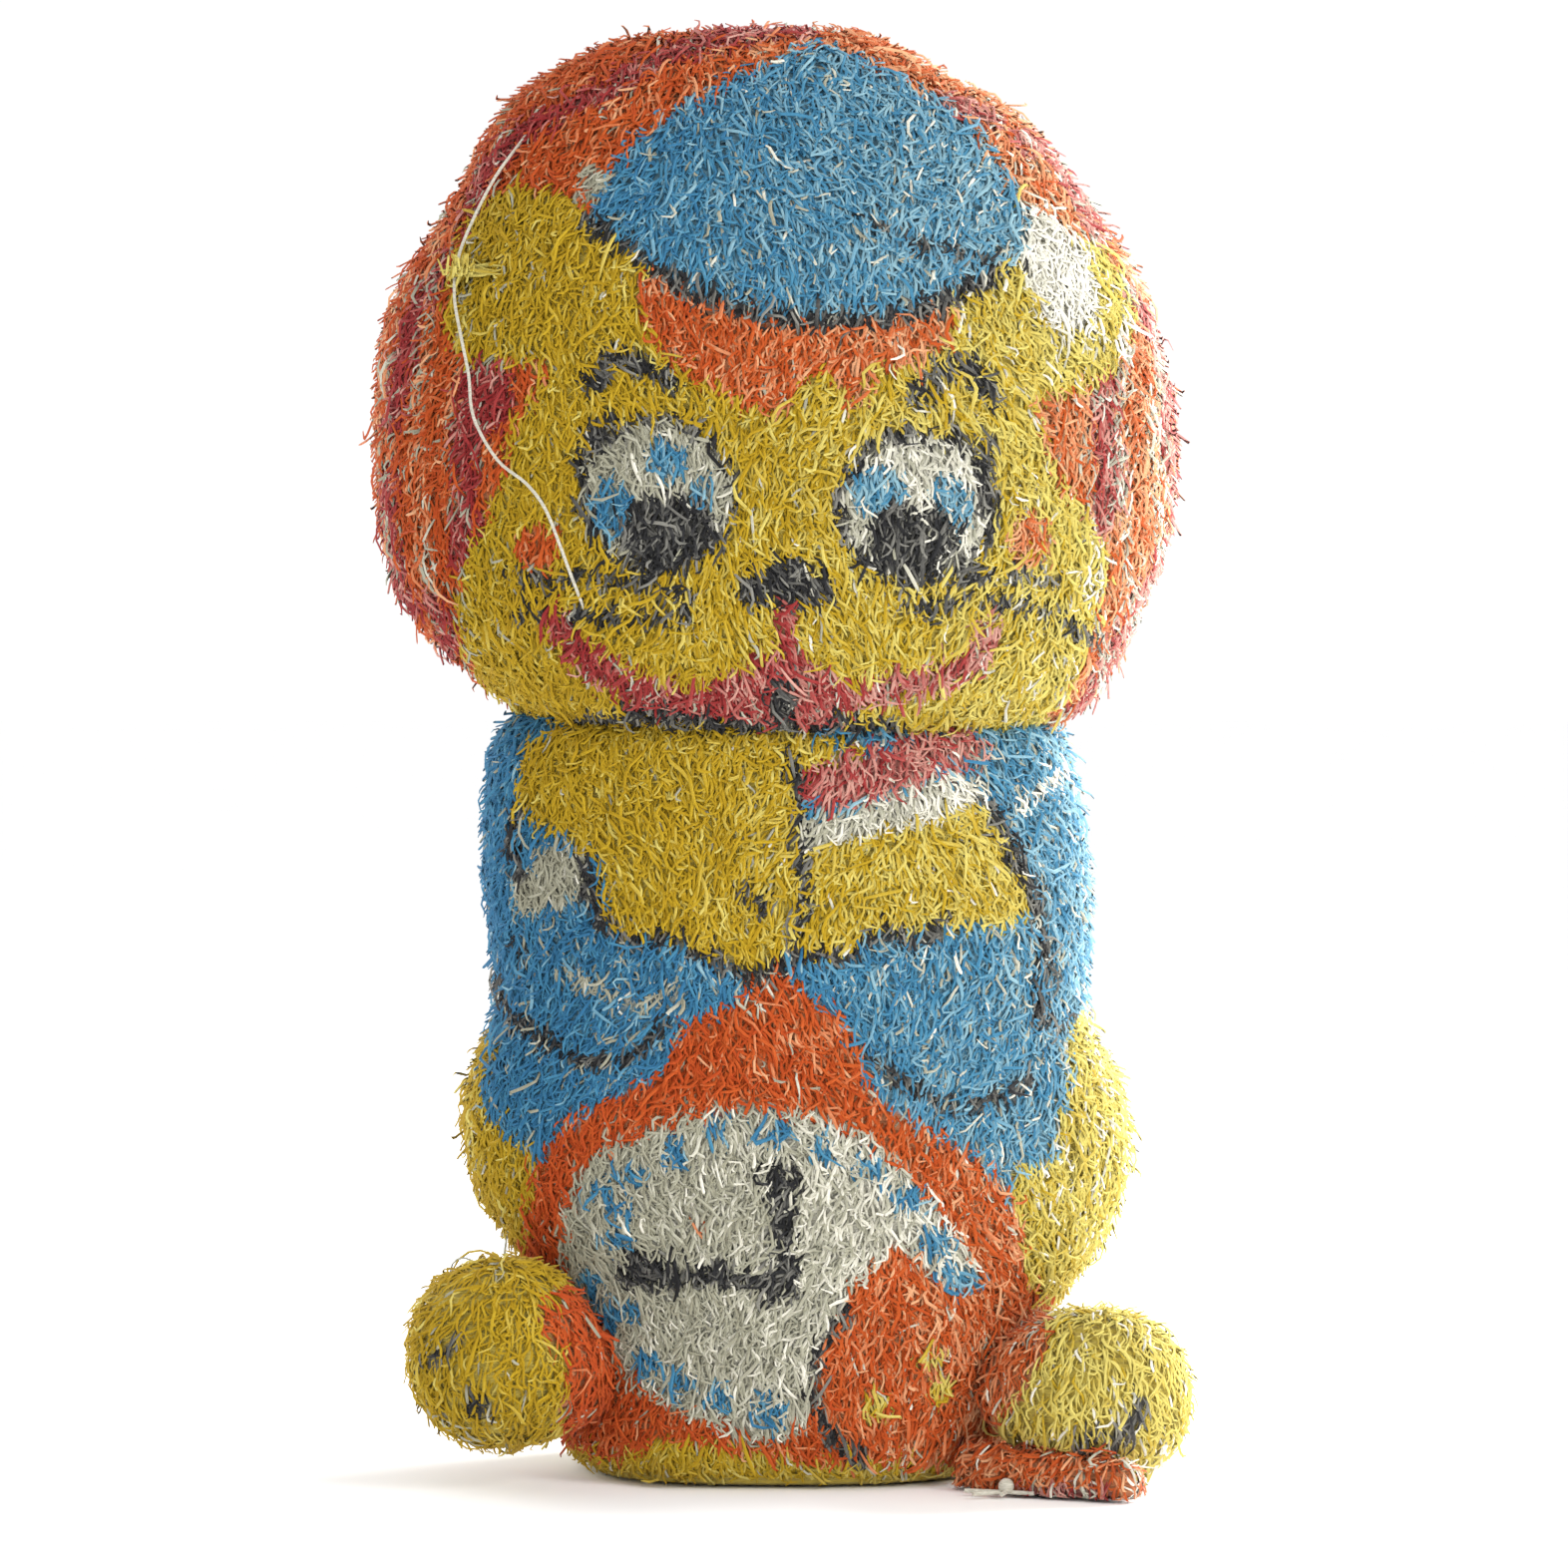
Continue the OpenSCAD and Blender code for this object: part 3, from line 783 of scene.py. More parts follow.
def make_foot(name, node, side, out, lift, stretch):
    """Blown-up ball over a foot's CAD skin, drawn out to an ankle where it is sewn to the torso.
    side is -1 or 1. The ball lies out and lift mm off the CAD skin's middle and is stretched in height."""
    low, high = box_mm(node)
    middle = (low + high) / 2 + [side * out, 0, lift]
    along = np.array([side * math.cos(foot_turn), -math.sin(foot_turn), 0])
    across = np.array([-along[1], along[0], 0])
    rows = smooth(FOOT_RINGS, 2)
    points = []
    for place, radius in rows:
        drop = -lift * ramp(-place, 8, 20)
        for j in range(foot_columns):
            turn = 2 * math.pi * j / foot_columns
            points.append(middle + along * place + across * radius * math.cos(turn)
                          + np.array([0, 0, stretch * radius * math.sin(turn) + drop]))
    skin = mesh_object(name, points, loft_faces(len(rows), foot_columns), KNIT)
    ankle = middle - along * ankle_from_middle

    def sewn(found):
        return ramp(-(found - ankle) @ along, -3, 0)
    return inflate(skin, 2.8, 1.5, sewn)


head_whole = make_head()
torso_whole = make_torso()
foot_left = make_foot("foot_left_knit", "foot_left_skin", -1, out=-2, lift=4, stretch=1.04)
foot_right = make_foot("foot_right_knit", "foot_right_skin", 1, out=3, lift=-1.2, stretch=0.96)


def panel(whole, name, keep, pictures, node):
    """One knitted panel cut from a whole skin. It stands for its CAD node."""
    piece = keep_faces(whole, keep, name)
    colour_skin(piece, *pictures)
    thick = piece.modifiers.new("cloth", "SOLIDIFY")
    thick.thickness = 0.8 * MM
    thick.offset = -1
    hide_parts(node)
    return piece


def in_oval(points, half_x, half_y):
    """True inside an upright oval tube."""
    return np.hypot(points[:, 0] / half_x, points[:, 1] / half_y) < 1


def open_tube(centres):
    """True outside the hand opening and outside the neck's passage."""
    mouth = (centres[:, 2] < 3) & in_oval(centres, 38, 31)
    neck = (centres[:, 2] > neck_z + 3) & in_oval(centres, 40, 22)
    return ~(mouth | neck)


HEAD_PICTURES = (HEAD_FRONT, HEAD_BACK)
TORSO_PICTURES = (TORSO_FRONT, TORSO_BACK)
FOOT_PICTURES = (FEET, [("yellow", everywhere)])

head_front = panel(head_whole, "head_knit_front", lambda c: c[:, 1] < 0, HEAD_PICTURES, "head_front")
head_back = panel(head_whole, "head_knit_back", lambda c: c[:, 1] >= 0, HEAD_PICTURES, "head_back")
for piece in (head_front, head_back):
    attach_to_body(piece, "head")
torso_front = panel(torso_whole, "torso_knit_front", lambda c: open_tube(c) & (c[:, 1] < 0),
                    TORSO_PICTURES, "body_front")
torso_back = panel(torso_whole, "torso_knit_back", lambda c: open_tube(c) & (c[:, 1] >= 0),
                   TORSO_PICTURES, "body_back")
for piece in (torso_front, torso_back):
    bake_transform(piece)
for piece, side in ((foot_left, "left"), (foot_right, "right")):
    colour_skin(piece, *FOOT_PICTURES)
    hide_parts(f"foot_{side}_skin")
    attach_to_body(piece, f"foot_{side}")


# ---- Pile ----

RINGS = np.array([0.05, 0.28, 0.5, 0.72, 0.95])     # places of a strand's rings along it
PROFILE = np.array([0.6, 0.95, 1.0, 0.9, 0.45])     # and their share of its radius
SIDES = 3
yarn_radius = (0.18, 0.36)    # of the thinnest and the thickest strand
flatness = 0.7                # height of a strand's section over its width
loose_length, loose_rise = (3.4, 6.4), (1.2, 3.2)   # of strands with one free end
arch_length, arch_rise = (4.1, 7.4), (0.8, 2.0)     # and of those with both ends in the knit
root = 0.3                    # how deep the strands start in the knit
curl = 0.75                   # how far a strand sways to its sides
combed = 0.55                 # how far neighbouring strands turn aside together
comb_x, comb_z = 11, 13       # and over what lengths that changes
ruffled = 0.34                # how far each one turns aside on its own
fluff = 1.4                   # how much a strand is shaded as part of the fluffy surface
lowest_yarn = 0.3             # the pile is pressed flat where the puppet stands
scatter = 0.65                # how far a strand strays over a line of the picture
flyaway_share = 0.05          # strands that stand well out of the pile
flyaway_size = (1.3, 1.7)
most_strands = 6500           # in one piece
fewest_strands = 12           # a colour with less is left out

cream_share = 0.07            # faded or cream strands between the others
mixed_share = 0.16            # and between the blue and the red ones
worn_share = 0.8              # more of them, in ribs, where the pile turns to the sides
worn_sides = (44, 74)         # from here out to here
worn_feet = 0.2               # share of these that the feet have
feet_low, feet_high = (8, 14), (34, 50)             # where the feet begin and end in height
rib_width, rib_edge = 1.1, 1.5                      # of these ribs: how wide and how sharp they are
rib_sway, rib_wave = 1.6, 14                        # and how far and over what length they sway
faded_left, faded_less = 0.75, 0.4                  # faded ones among them, and how many fewer at the right
painted_light_right = 0.6                    # painted light: how much paler the yarn is on the lit right side than on the shaded left
faded_paler = 0.4             # how much paler a faded strand is
body_painted_shade = 0.18            # painted shade: how much darker the blue and the orange are on the body, which gets less light, than on the head
# Painted light for each colour: how strongly it takes the light from the right, and how much paler it is at
# the far right, where the light from behind catches it
LIGHT_FROM_RIGHT = {
    "yellow": (1, 0.12), "orange": (1, -0.15), "red": (1, -0.15), "blue": (1, 0.12),
    "white": (1.4, 0.4), "black": (0.3, 0.12),
}


def strand_faces():
    """Triangles of one strand: point, five rings of three, point."""
    last_ring = 1 + (len(RINGS) - 1) * SIDES
    end = 1 + len(RINGS) * SIDES
    faces = []
    for j in range(SIDES):
        k = (j + 1) % SIDES
        faces.append((0, 1 + j, 1 + k))
        faces.append((end, last_ring + k, last_ring + j))
        for i in range(len(RINGS) - 1):
            low, high = 1 + i * SIDES, 1 + (i + 1) * SIDES
            faces += [(low + j, high + k, low + k), (low + j, high + j, high + k)]
    return np.array(faces)


STRAND_FACES = strand_faces()


def sampled(obj, per_mm2, rng):
    """Random places on a skin, evenly by area, with its smooth normals."""
    mesh = obj.data
    mesh.calc_loop_triangles()
    corners = np.zeros(len(mesh.loop_triangles) * 3, int)
    mesh.loop_triangles.foreach_get("vertices", corners)
    corners = corners.reshape(-1, 3)
    points = coordinates_of(obj)
    normals = np.zeros(len(points) * 3)
    mesh.vertices.foreach_get("normal", normals)
    normals = normals.reshape(-1, 3)
    a, b, c = (points[corners[:, i]] for i in range(3))
    areas = np.linalg.norm(np.cross(b - a, c - a), axis=1) / 2
    count = int(areas.sum() * per_mm2)
    chosen = rng.choice(len(areas), count, p=areas / areas.sum())
    u, v = rng.random(count), rng.random(count)
    flip = u + v > 1
    u[flip], v[flip] = 1 - u[flip], 1 - v[flip]
    shares = np.column_stack([1 - u - v, u, v])[:, :, None]
    places = (points[corners[chosen]] * shares).sum(axis=1)
    lean = (normals[corners[chosen]] * shares).sum(axis=1)
    return places, lean / np.linalg.norm(lean, axis=1, keepdims=True)


def strands(places, normals, rng, size=1.0, wild=0.3, aim=(0.0, 0.0, -1.0)):
    """One strand at each place: mostly arches with both ends in the knit, some loose. They lie along
    aim, more or less. Gives each point, its shading normal and how far up its strand it is."""
    count = len(places)
    down = np.array(aim) - normals * (normals @ np.array(aim))[:, None]
    flat = np.linalg.norm(down, axis=1, keepdims=True)
    down = np.where(flat > 0.15, down / np.maximum(flat, 1e-6), np.cross(normals, [1.0, 0.0, 0.0]))
    down /= np.linalg.norm(down, axis=1, keepdims=True)
    x, z = places[:, 0], places[:, 2]
    turn = combed * np.sin(x / comb_x + 1.3) * np.cos(z / comb_z) + rng.normal(0, ruffled, count)
    side = np.cross(normals, down)
    along = down * np.cos(turn)[:, None] + side * np.sin(turn)[:, None]
    across = np.cross(normals, along)
    loose = rng.random(count) < wild
    size = np.broadcast_to(size, count)
    length = size * np.where(loose, rng.uniform(*loose_length, count), rng.uniform(*arch_length, count))
    rise = size * np.where(loose, rng.uniform(*loose_rise, count), rng.uniform(*arch_rise, count))
    wave = size * rng.normal(0, curl, count)
    phase = rng.uniform(0, 2 * math.pi, count)
    s = np.concatenate([[0], RINGS, [1]])[None, :]
    arch = np.sin(math.pi * s) ** 0.7
    lifted = 1 - (1 - s) ** 2.2 * np.ones((count, 1))
    up = np.where(loose[:, None], lifted, arch) * rise[:, None] - root
    go = np.where(loose[:, None], s - 0.4 * s ** 3, s) - 0.5
    sway = wave[:, None] * np.sin(1.7 * math.pi * s + phase[:, None])
    path = (places[:, None, :] + along[:, None, :] * (go * length[:, None])[:, :, None]
            + normals[:, None, :] * up[:, :, None] + across[:, None, :] * sway[:, :, None])
    tangent = np.gradient(path, axis=1)
    tangent /= np.maximum(np.linalg.norm(tangent, axis=2, keepdims=True), 1e-9)
    wide = np.cross(tangent, normals[:, None, :] + 1e-3)
    wide /= np.maximum(np.linalg.norm(wide, axis=2, keepdims=True), 1e-9)
    high = np.cross(wide, tangent)
    radius = np.sqrt(size) * rng.uniform(*yarn_radius, count)
    parts, lean = [path[:, :1]], [normals[:, None]]
    for i, share in enumerate(PROFILE):
        r = (radius * share)[:, None]
        for a in np.arange(SIDES) * 2 * math.pi / SIDES + math.pi / 2:
            outward = math.cos(a) * wide[:, i + 1] + flatness * math.sin(a) * high[:, i + 1]
            parts.append((path[:, i + 1] + r * outward)[:, None])
            lean.append((outward + fluff * normals)[:, None])
    parts.append(path[:, -1:])
    lean.append(normals[:, None])
    points = np.concatenate(parts, axis=1)
    lean = np.concatenate(lean, axis=1)
    lean /= np.maximum(np.linalg.norm(lean, axis=2, keepdims=True), 1e-9)
    points[:, :, 2] = np.maximum(points[:, :, 2], lowest_yarn)
    tips = np.concatenate([[0], np.repeat(RINGS, SIDES), [1]])
    tips = np.where(loose[:, None], tips, np.sin(math.pi * tips))
    return points, lean, tips


def pile_object(name, points, lean, tips, tint, colour):
    """One mesh of many strands. lean is each point's shading normal, tint each strand's paleness
    and tips how far each point is up its strand."""
    count, each = points.shape[:2]
    mesh = bpy.data.meshes.new(name)
    mesh.vertices.add(count * each)
    mesh.vertices.foreach_set("co", (points * MM).astype(np.float32).ravel())
    faces = (STRAND_FACES[None] + np.arange(count)[:, None, None] * each).reshape(-1, 3)
    mesh.loops.add(faces.size)
    mesh.loops.foreach_set("vertex_index", faces.astype(np.int32).ravel())
    mesh.polygons.add(len(faces))
    mesh.polygons.foreach_set("loop_start", np.arange(0, faces.size, 3, dtype=np.int32))
    mesh.update(calc_edges=True)
    mesh.shade_smooth()
    mesh.normals_split_custom_set_from_vertices(lean.reshape(-1, 3).tolist())
    # painted light and shade: each strand is paler towards its top, where light falls, and darker at its
    # foot, deep in the shaded pile
    shade = np.clip(tint[:, None] + 0.2 * (tips - 0.5), 0, 1)
    attribute = mesh.attributes.new("tint", "FLOAT", "POINT")
    attribute.data.foreach_set("value", shade.astype(np.float32).ravel())
    mesh.materials.append(PILE[colour])
    return new_object(name, mesh)


def worn_strands(colours, places, rng):
    """Which strands are worn: those that only faded, and those that turned cream."""
    blue = colours == COLOURS.index("blue")
    mixed = blue | (colours == COLOURS.index("red"))
    x, z = places[:, 0], places[:, 2]
    ribs = (0.5 + 0.5 * np.sin(x / rib_width + rib_sway * np.sin(z / rib_wave))) ** rib_edge
    at_feet = ramp(z, *feet_low) * (1 - ramp(z, *feet_high))
    at_sides = (1 - at_feet * (1 - worn_feet)) * ramp(np.abs(x), *worn_sides)
    share = np.where(mixed, mixed_share, cream_share) + worn_share * at_sides * ribs * ~blue
    strays = rng.random(len(x)) < share
    faded = strays & (rng.random(len(x)) < faded_left - faded_less * ramp(x, 0, 60))
    return faded, strays & ~faded


def tints_of(colours, faded, places, rng):
    """Paleness of each strand: by chance, by fading, and by painted light that makes its colour paler
    towards the lit right.
    """
    x = places[:, 0]
    strength, far_right = np.array([LIGHT_FROM_RIGHT[c] for c in COLOURS])[colours].T
    # painted light: the yarn is paler towards the lit right and darker towards the shaded left
    tint = rng.beta(2.4, 3.0, len(x)) + painted_light_right * strength * (ramp(x, -70, 80) - 0.5)
    # painted light: far_right adds each colour's share of painted rim light at the far right
    return tint + faded_paler * faded + far_right * ramp(x, 36, 62)


def grow_pile(label, skin, pictures, density, seed, attach, keep=None, size=1.0, wild=0.3):
    """Pile on one skin: a piece for each colour, or several side by side where it has many strands."""
    rng = np.random.default_rng(seed)
    places, normals = sampled(skin, density, rng)
    if keep is not None:
        kept = keep(places)
        places, normals = places[kept], normals[kept]
    count = len(places)
    jitter = places + rng.normal(0, scatter, places.shape) * [1, 0, 1]
    colours = picture_at(jitter, *pictures)
    sizes = size * np.where(rng.random(count) < flyaway_share, rng.uniform(*flyaway_size, count), 1)
    points, lean, tips = strands(places, normals, rng, sizes, wild)
    faded, cream = worn_strands(colours, places, rng)
    tint = tints_of(colours, faded, places, rng)
    # painted shade: blue strands, and orange ones that are not cream, are made darker below the neck, where
    # less light falls
    shaded_on_body = (colours == COLOURS.index("blue")) | ((colours == COLOURS.index("orange")) & ~cream)
    colours[cream] = COLOURS.index("white")
    tint = np.clip(tint - body_painted_shade * (shaded_on_body & (places[:, 2] < neck_z)), 0, 1)
    for number, colour in enumerate(COLOURS):
        chosen = np.flatnonzero(colours == number)
        if len(chosen) < fewest_strands:
            continue
        chosen = chosen[np.argsort(places[chosen, 0], kind="stable")]
        parts = np.array_split(chosen, math.ceil(len(chosen) / most_strands))
        for order, part in enumerate(parts):
            ending = f"_{order + 1}" if len(parts) > 1 else ""
            piece = pile_object(f"pile_{label}_{colour}{ending}", points[part], lean[part],
                                tips[part], tint[part], colour)
            attach(piece)


def ride_on(body):
    return lambda piece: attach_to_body(piece, body)


def bend_at_neck(piece):
    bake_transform(piece)


def off_neck(points):
    """Leaves out the pile that the tied neck hides."""
    return ~((np.abs(points[:, 2] - neck_z) < 8) & (np.hypot(points[:, 0], points[:, 1]) < 24))


front_density, back_density = 1.3, 0.75
grow_pile("head_front", head_front, HEAD_PICTURES, front_density, 11, ride_on("head"), off_neck)
grow_pile("head_back", head_back, HEAD_PICTURES, back_density, 12, ride_on("head"), off_neck)
grow_pile("torso_front", torso_front, TORSO_PICTURES, front_density, 13, bend_at_neck, off_neck)
grow_pile("torso_back", torso_back, TORSO_PICTURES, back_density, 14, bend_at_neck, off_neck)
grow_pile("chin", head_front, HEAD_PICTURES, 1.0, 20, ride_on("head"),
          lambda p: off_neck(p) & (p[:, 2] < neck_z + 8) & (p[:, 1] < -18), size=1.15, wild=0.4)
for word, skin, seed in (("front", torso_front, 18), ("back", torso_back, 19)):
    grow_pile(f"hem_{word}", skin, TORSO_PICTURES, 1.2, seed, bend_at_neck, lambda p: p[:, 2] < 8)
grow_pile("foot_left", foot_left, FOOT_PICTURES, 0.7, 15, ride_on("foot_left"))
grow_pile("foot_right", foot_right, FOOT_PICTURES, 0.7, 16, ride_on("foot_right"))


# ---- Threads, seams and the layers inside ----

# The front of the CAD head: its reach above and below its widest level, half width and depth
face_above, face_below = 86, 48
face_mid_z = neck_z + face_below
face_half_width, face_depth = 75, 49
face_bulge = 2.3


def on_face(x, z, off):
    """Point on the front of the CAD head, off mm outside its knit."""
    above = z - face_mid_z
    width = face_half_width + off
    tall = (face_above if above > 0 else face_below) + off
    power = 2 if above > 0 else 2.5
    reach = min(1, (abs(x / width) ** power + abs(above / tall) ** power) ** (1 / power))
    return np.array([x, -(face_depth + off) * (1 - reach ** face_bulge) ** (1 / face_bulge), z])


STRAY_ROUTE = [
    (-43, 268), (-49, 257), (-55, 248), (-59.5, 239), (-62, 232), (-62.5, 225), (-61, 217),
    (-59.5, 210), (-58.5, 202), (-54, 194), (-48.5, 189.5), (-45, 185), (-42.5, 179), (-40, 172),
    (-37, 164),
]
stray_stand = 4.5             # how far the thread lies off the knit
stray_sunk = 0.2              # share of that at its ends
stray_climb = 6               # and how steeply it rises from them
stray_d = 0.6


def add_stray_thread():
    """Limp white thread over the left of the face. Both its ends go down between the loops."""
    route = smooth(STRAY_ROUTE, 5)
    parts = np.linspace(0, 1, len(route))
    rise = np.minimum(1, stray_sunk + stray_climb * np.minimum(parts, 1 - parts))
    path = np.array([on_face(x, z, stray_stand * r) for (x, z), r in zip(route, rise)]) * MM
    data = bpy.data.curves.new("loose_white_thread", "CURVE")
    data.dimensions = "3D"
    data.bevel_depth = stray_d / 2 * MM
    data.bevel_resolution = 3
    data.use_fill_caps = True
    spline = data.splines.new("POLY")
    spline.points.add(len(path) - 1)
    for point, place in zip(spline.points, path):
        point.co = (*place, 1)
    data.materials.append(THREAD)
    thread = new_object("loose_white_thread", data)
    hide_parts("stray_thread")
    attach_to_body(thread, "head")


def add_tuft():
    """Snagged yellow yarn under the loose thread: a fan that opens to the right over the ear."""
    rng = np.random.default_rng(21)
    low, high = box_mm("snagged_tuft")
    foot = (low + high) / 2
    count = 40
    outward = np.array([-0.5, -0.85, 0.15])
    lifted, spread = 2.2, [1.2, 0.5, 0.7]
    places = foot + lifted * outward + rng.normal(0, 1.0, (count, 3)) * spread
    normals = outward + rng.normal(0, 0.12, (count, 3))
    normals /= np.linalg.norm(normals, axis=1, keepdims=True)
    points, lean, tips = strands(places, normals, rng, size=1.7, wild=0.8, aim=(1.0, 0.0, -0.15))
    tuft = pile_object("snagged_yarn_tuft", points, lean, tips, rng.uniform(0.55, 1.0, count), "yellow")
    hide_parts("snagged_tuft")
    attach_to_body(tuft, "head")


outside = 200                 # a ray to a skin starts this far out


def tree_of(obj):
    """Search tree of a skin, in millimetres."""
    mesh = obj.data
    return BVHTree.FromPolygons(coordinates_of(obj).tolist(), [tuple(p.vertices) for p in mesh.polygons])


def whip_stitches(path, outward, pitch, reach):
    """Thread that winds over a seam: a flattened helix along the path."""
    path = np.asarray(path, float)
    steps = np.linalg.norm(np.diff(path, axis=0), axis=1)
    along = np.concatenate([[0], np.cumsum(steps)])
    places = np.arange(0, along[-1], pitch / 10)
    centre = np.column_stack([np.interp(places, along, path[:, i]) for i in range(3)])
    out = np.column_stack([np.interp(places, along, outward[:, i]) for i in range(3)])
    turn = places / pitch * 2 * math.pi
    return (centre + out * (0.4 + 0.6 * reach * np.cos(turn))[:, None]
            + np.array([0, 1, 0]) * (reach * np.sin(turn))[:, None])


def seam(name, path, outward, node, attach):
    """Rounded ridge where two panels meet, and the whip stitches that hold it."""
    ridge = tube_mesh([path], lambda t: 1.0, 8)
    winding = whip_stitches(path, outward, pitch=3.2, reach=1.5)
    thread = tube_mesh([winding], lambda t: 0.28, 5)
    shift = len(ridge[0])
    faces = ridge[1] + [tuple(v + shift for v in f) for f in thread[1]]
    piece = mesh_object(name, ridge[0] + thread[0], faces, YELLOW_THREAD)
    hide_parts(node)
    attach(piece)


def edge_points(tree, centre, directions, start):
    """Outermost points of a skin seen from centre along these directions, and the directions."""
    found, outward = [], []
    for direction in directions:
        origin = Vector(centre) + Vector(direction) * start
        hit = tree.ray_cast(origin, -Vector(direction))[0]
        if hit is not None:
            found.append(tuple(hit))
            outward.append(direction)
    return np.array(found), np.array(outward)


def add_seams():
    head_tree, torso_tree = tree_of(head_whole), tree_of(torso_whole)
    turns = np.radians(np.arange(-46, 227, 3))
    directions = [(math.cos(a), 0, math.sin(a)) for a in turns]
    path, outward = edge_points(head_tree, (0, 0, face_mid_z), directions, outside)
    seam("head_seam_stitching", path, outward, "head_seam", ride_on("head"))
    for side, word in ((-1, "left"), (1, "right")):
        path = []
        for z in np.arange(10, neck_z - 5, 3):
            hit = torso_tree.ray_cast(Vector((side * outside, 0, z)), Vector((-side, 0, 0)))[0]
            path.append(tuple(hit))
        outward = np.tile([side, 0, 0], (len(path), 1))
        seam(f"side_seam_stitching_{word}", path, outward, f"side_seam_{word}", bend_at_neck)


def band(name, rows, columns, outer, inner, material):
    """Closed ring of cloth. outer and inner give a point for a turn in radians and a part 0 to 1."""
    turns = np.arange(columns) * 2 * math.pi / columns
    parts = np.linspace(0, 1, rows)
    points = [outer(a, t) for t in parts for a in turns] + [inner(a, t) for t in parts[::-1] for a in turns]
    rings = 2 * rows
    faces = []
    for i in range(rings):
        for j in range(columns):
            k = (j + 1) % columns
            here, after = i * columns, (i + 1) % rings * columns
            faces.append((here + j, here + k, after + k, after + j))
    return mesh_object(name, points, faces, material)


def rounded(turn, half_x, half_y, squareness):
    c, s = math.cos(turn), math.sin(turn)
    return (math.copysign(abs(c) ** (2 / squareness), c) * half_x,
            math.copysign(abs(s) ** (2 / squareness), s) * half_y)


hem_x, hem_y, hem_square = 38.8, 32.2, 2.5          # half sizes and squareness of the fold
hem_top = 10


def add_hem():
    """Cloth folded up inside the hem, and the running stitches that hold it."""
    def outer(turn, part):
        roll = 1.6 * math.sin(math.pi * min(1, part * 2.5) / 2) - 1.6
        x, y = rounded(turn, hem_x + roll, hem_y + roll, hem_square)
        return x, y, 0.3 + (hem_top - 0.3) * part + 0.25 * math.sin(9 * turn) * part

    def inner(turn, part):
        x, y = rounded(turn, hem_x - 3.4, hem_y - 3.4, hem_square)
        pucker = 0.25 * math.sin(23 * turn)
        return x + pucker, y + pucker, 0.6 + (hem_top - 0.9) * part
    hem = band("hem_fold", 7, 120, outer, inner, KNIT)
    colour_skin(hem, [("yellow", everywhere)], [("yellow", everywhere)])
    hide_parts("hem_band")
    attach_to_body(hem, "torso")
    paths = []
    for turn in np.radians(np.arange(4, 364, 7.5)):
        places = [rounded(turn + t, hem_x - 3.2, hem_y - 3.2, hem_square) for t in (0, 0.035, 0.07)]
        bow = (0.1, -0.35, 0.1)
        paths.append([(x * (1 + b / 40), y * (1 + b / 40), hem_top - 4)
                      for (x, y), b in zip(places, bow)])
    points, faces = tube_mesh(paths, lambda t: 0.3, 6)
    stitches = mesh_object("hem_running_stitches", points, faces, THREAD)
    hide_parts("hem_stitches")
    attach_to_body(stitches, "torso")


def inner_layer(name, inset, thickness, keep, node, material):
    """One layer of cloth or wadding inside the torso, a little wavy."""
    levels = [(z, left - inset, right - inset, depth - inset, n)
              for z, left, right, depth, n in TORSO_LEVELS if 10 < z < 136]
    whole = lofted(name + "_whole", levels, 64)
    low, high = levels[0][0] + 0.1, levels[-1][0] - 0.1
    layer = keep_faces(whole, lambda c: (c[:, 2] > low) & (c[:, 2] < high) & keep(c), name)
    bpy.data.objects.remove(whole)
    points = coordinates_of(layer)
    ripple = 0.35 * np.sin(points[:, 0] / 5) * np.sin(points[:, 2] / 7)
    points[:, 1] += ripple
    set_coordinates(layer, points)
    layer.data.materials[0] = material
    thick = layer.modifiers.new("thickness", "SOLIDIFY")
    thick.thickness = thickness * MM
    thick.offset = -1
    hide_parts(node)
    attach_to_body(layer, "torso")
    return layer


def add_inner_layers():
    front = inner_layer("padding_quilt_front", 3.2, 2.6, lambda c: c[:, 1] < 0, "padding_front",
                        WADDING)
    back = inner_layer("padding_quilt_back", 3.2, 2.6, lambda c: c[:, 1] >= 0, "padding_back",
                       WADDING)
    inner_layer("hand_lining_cloth", 6.6, 0.8, lambda c: np.ones(len(c), bool), "hand_lining",
                LINING)


def add_neck():
    """Short sleeve that the tie gathers into pleats."""
    low, high = box_mm("neck_sleeve")
    middle, half = (low[2] + high[2]) / 2, (high[2] - low[2]) / 2
    radius = (high[0] - low[0]) / 2

    def outer(turn, part):
        waist = 0.8 * (1 - (2 * part - 1) ** 2)
        r = radius - 0.9 - waist + 0.7 * math.cos(26 * turn)
        return r * math.cos(turn), r * math.sin(turn), middle + half * (2 * part - 1)

    def inner(turn, part):
        r = 17.6 + 0.3 * math.cos(26 * turn)
        return r * math.cos(turn), r * math.sin(turn), middle + half * (2 * part - 1)
    sleeve = band("neck_gathers", 9, 208, outer, inner, KNIT)
    colour_skin(sleeve, [("yellow", everywhere)], [("blue", everywhere)])
    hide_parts("neck_sleeve")
    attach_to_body(sleeve, "neck")


def copy_of_node(name, node, material):
    """New object with a copy of a CAD node's mesh, in one material."""
    obj = new_object(name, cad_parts[node].data.copy())
    obj.data.materials.clear()
    obj.data.materials.append(material)
    return obj


def add_wadding(name, node, voxel, body):
    """Lumpy stuffing in the place of a CAD solid."""
    wad = copy_of_node(name, node, WADDING)
    even_mesh(wad, voxel)
    points = coordinates_of(wad)
    normals = np.zeros(len(points) * 3)
    wad.data.vertices.foreach_get("normal", normals)
    x, y, z = points.T
    lump = np.sin(x / 3.1) * np.cos(y / 3.7) + np.sin(z / 2.9 + x / 5)
    set_coordinates(wad, points + normals.reshape(-1, 3) * (0.3 * lump - 0.9)[:, None])
    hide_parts(node)
    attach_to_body(wad, body)


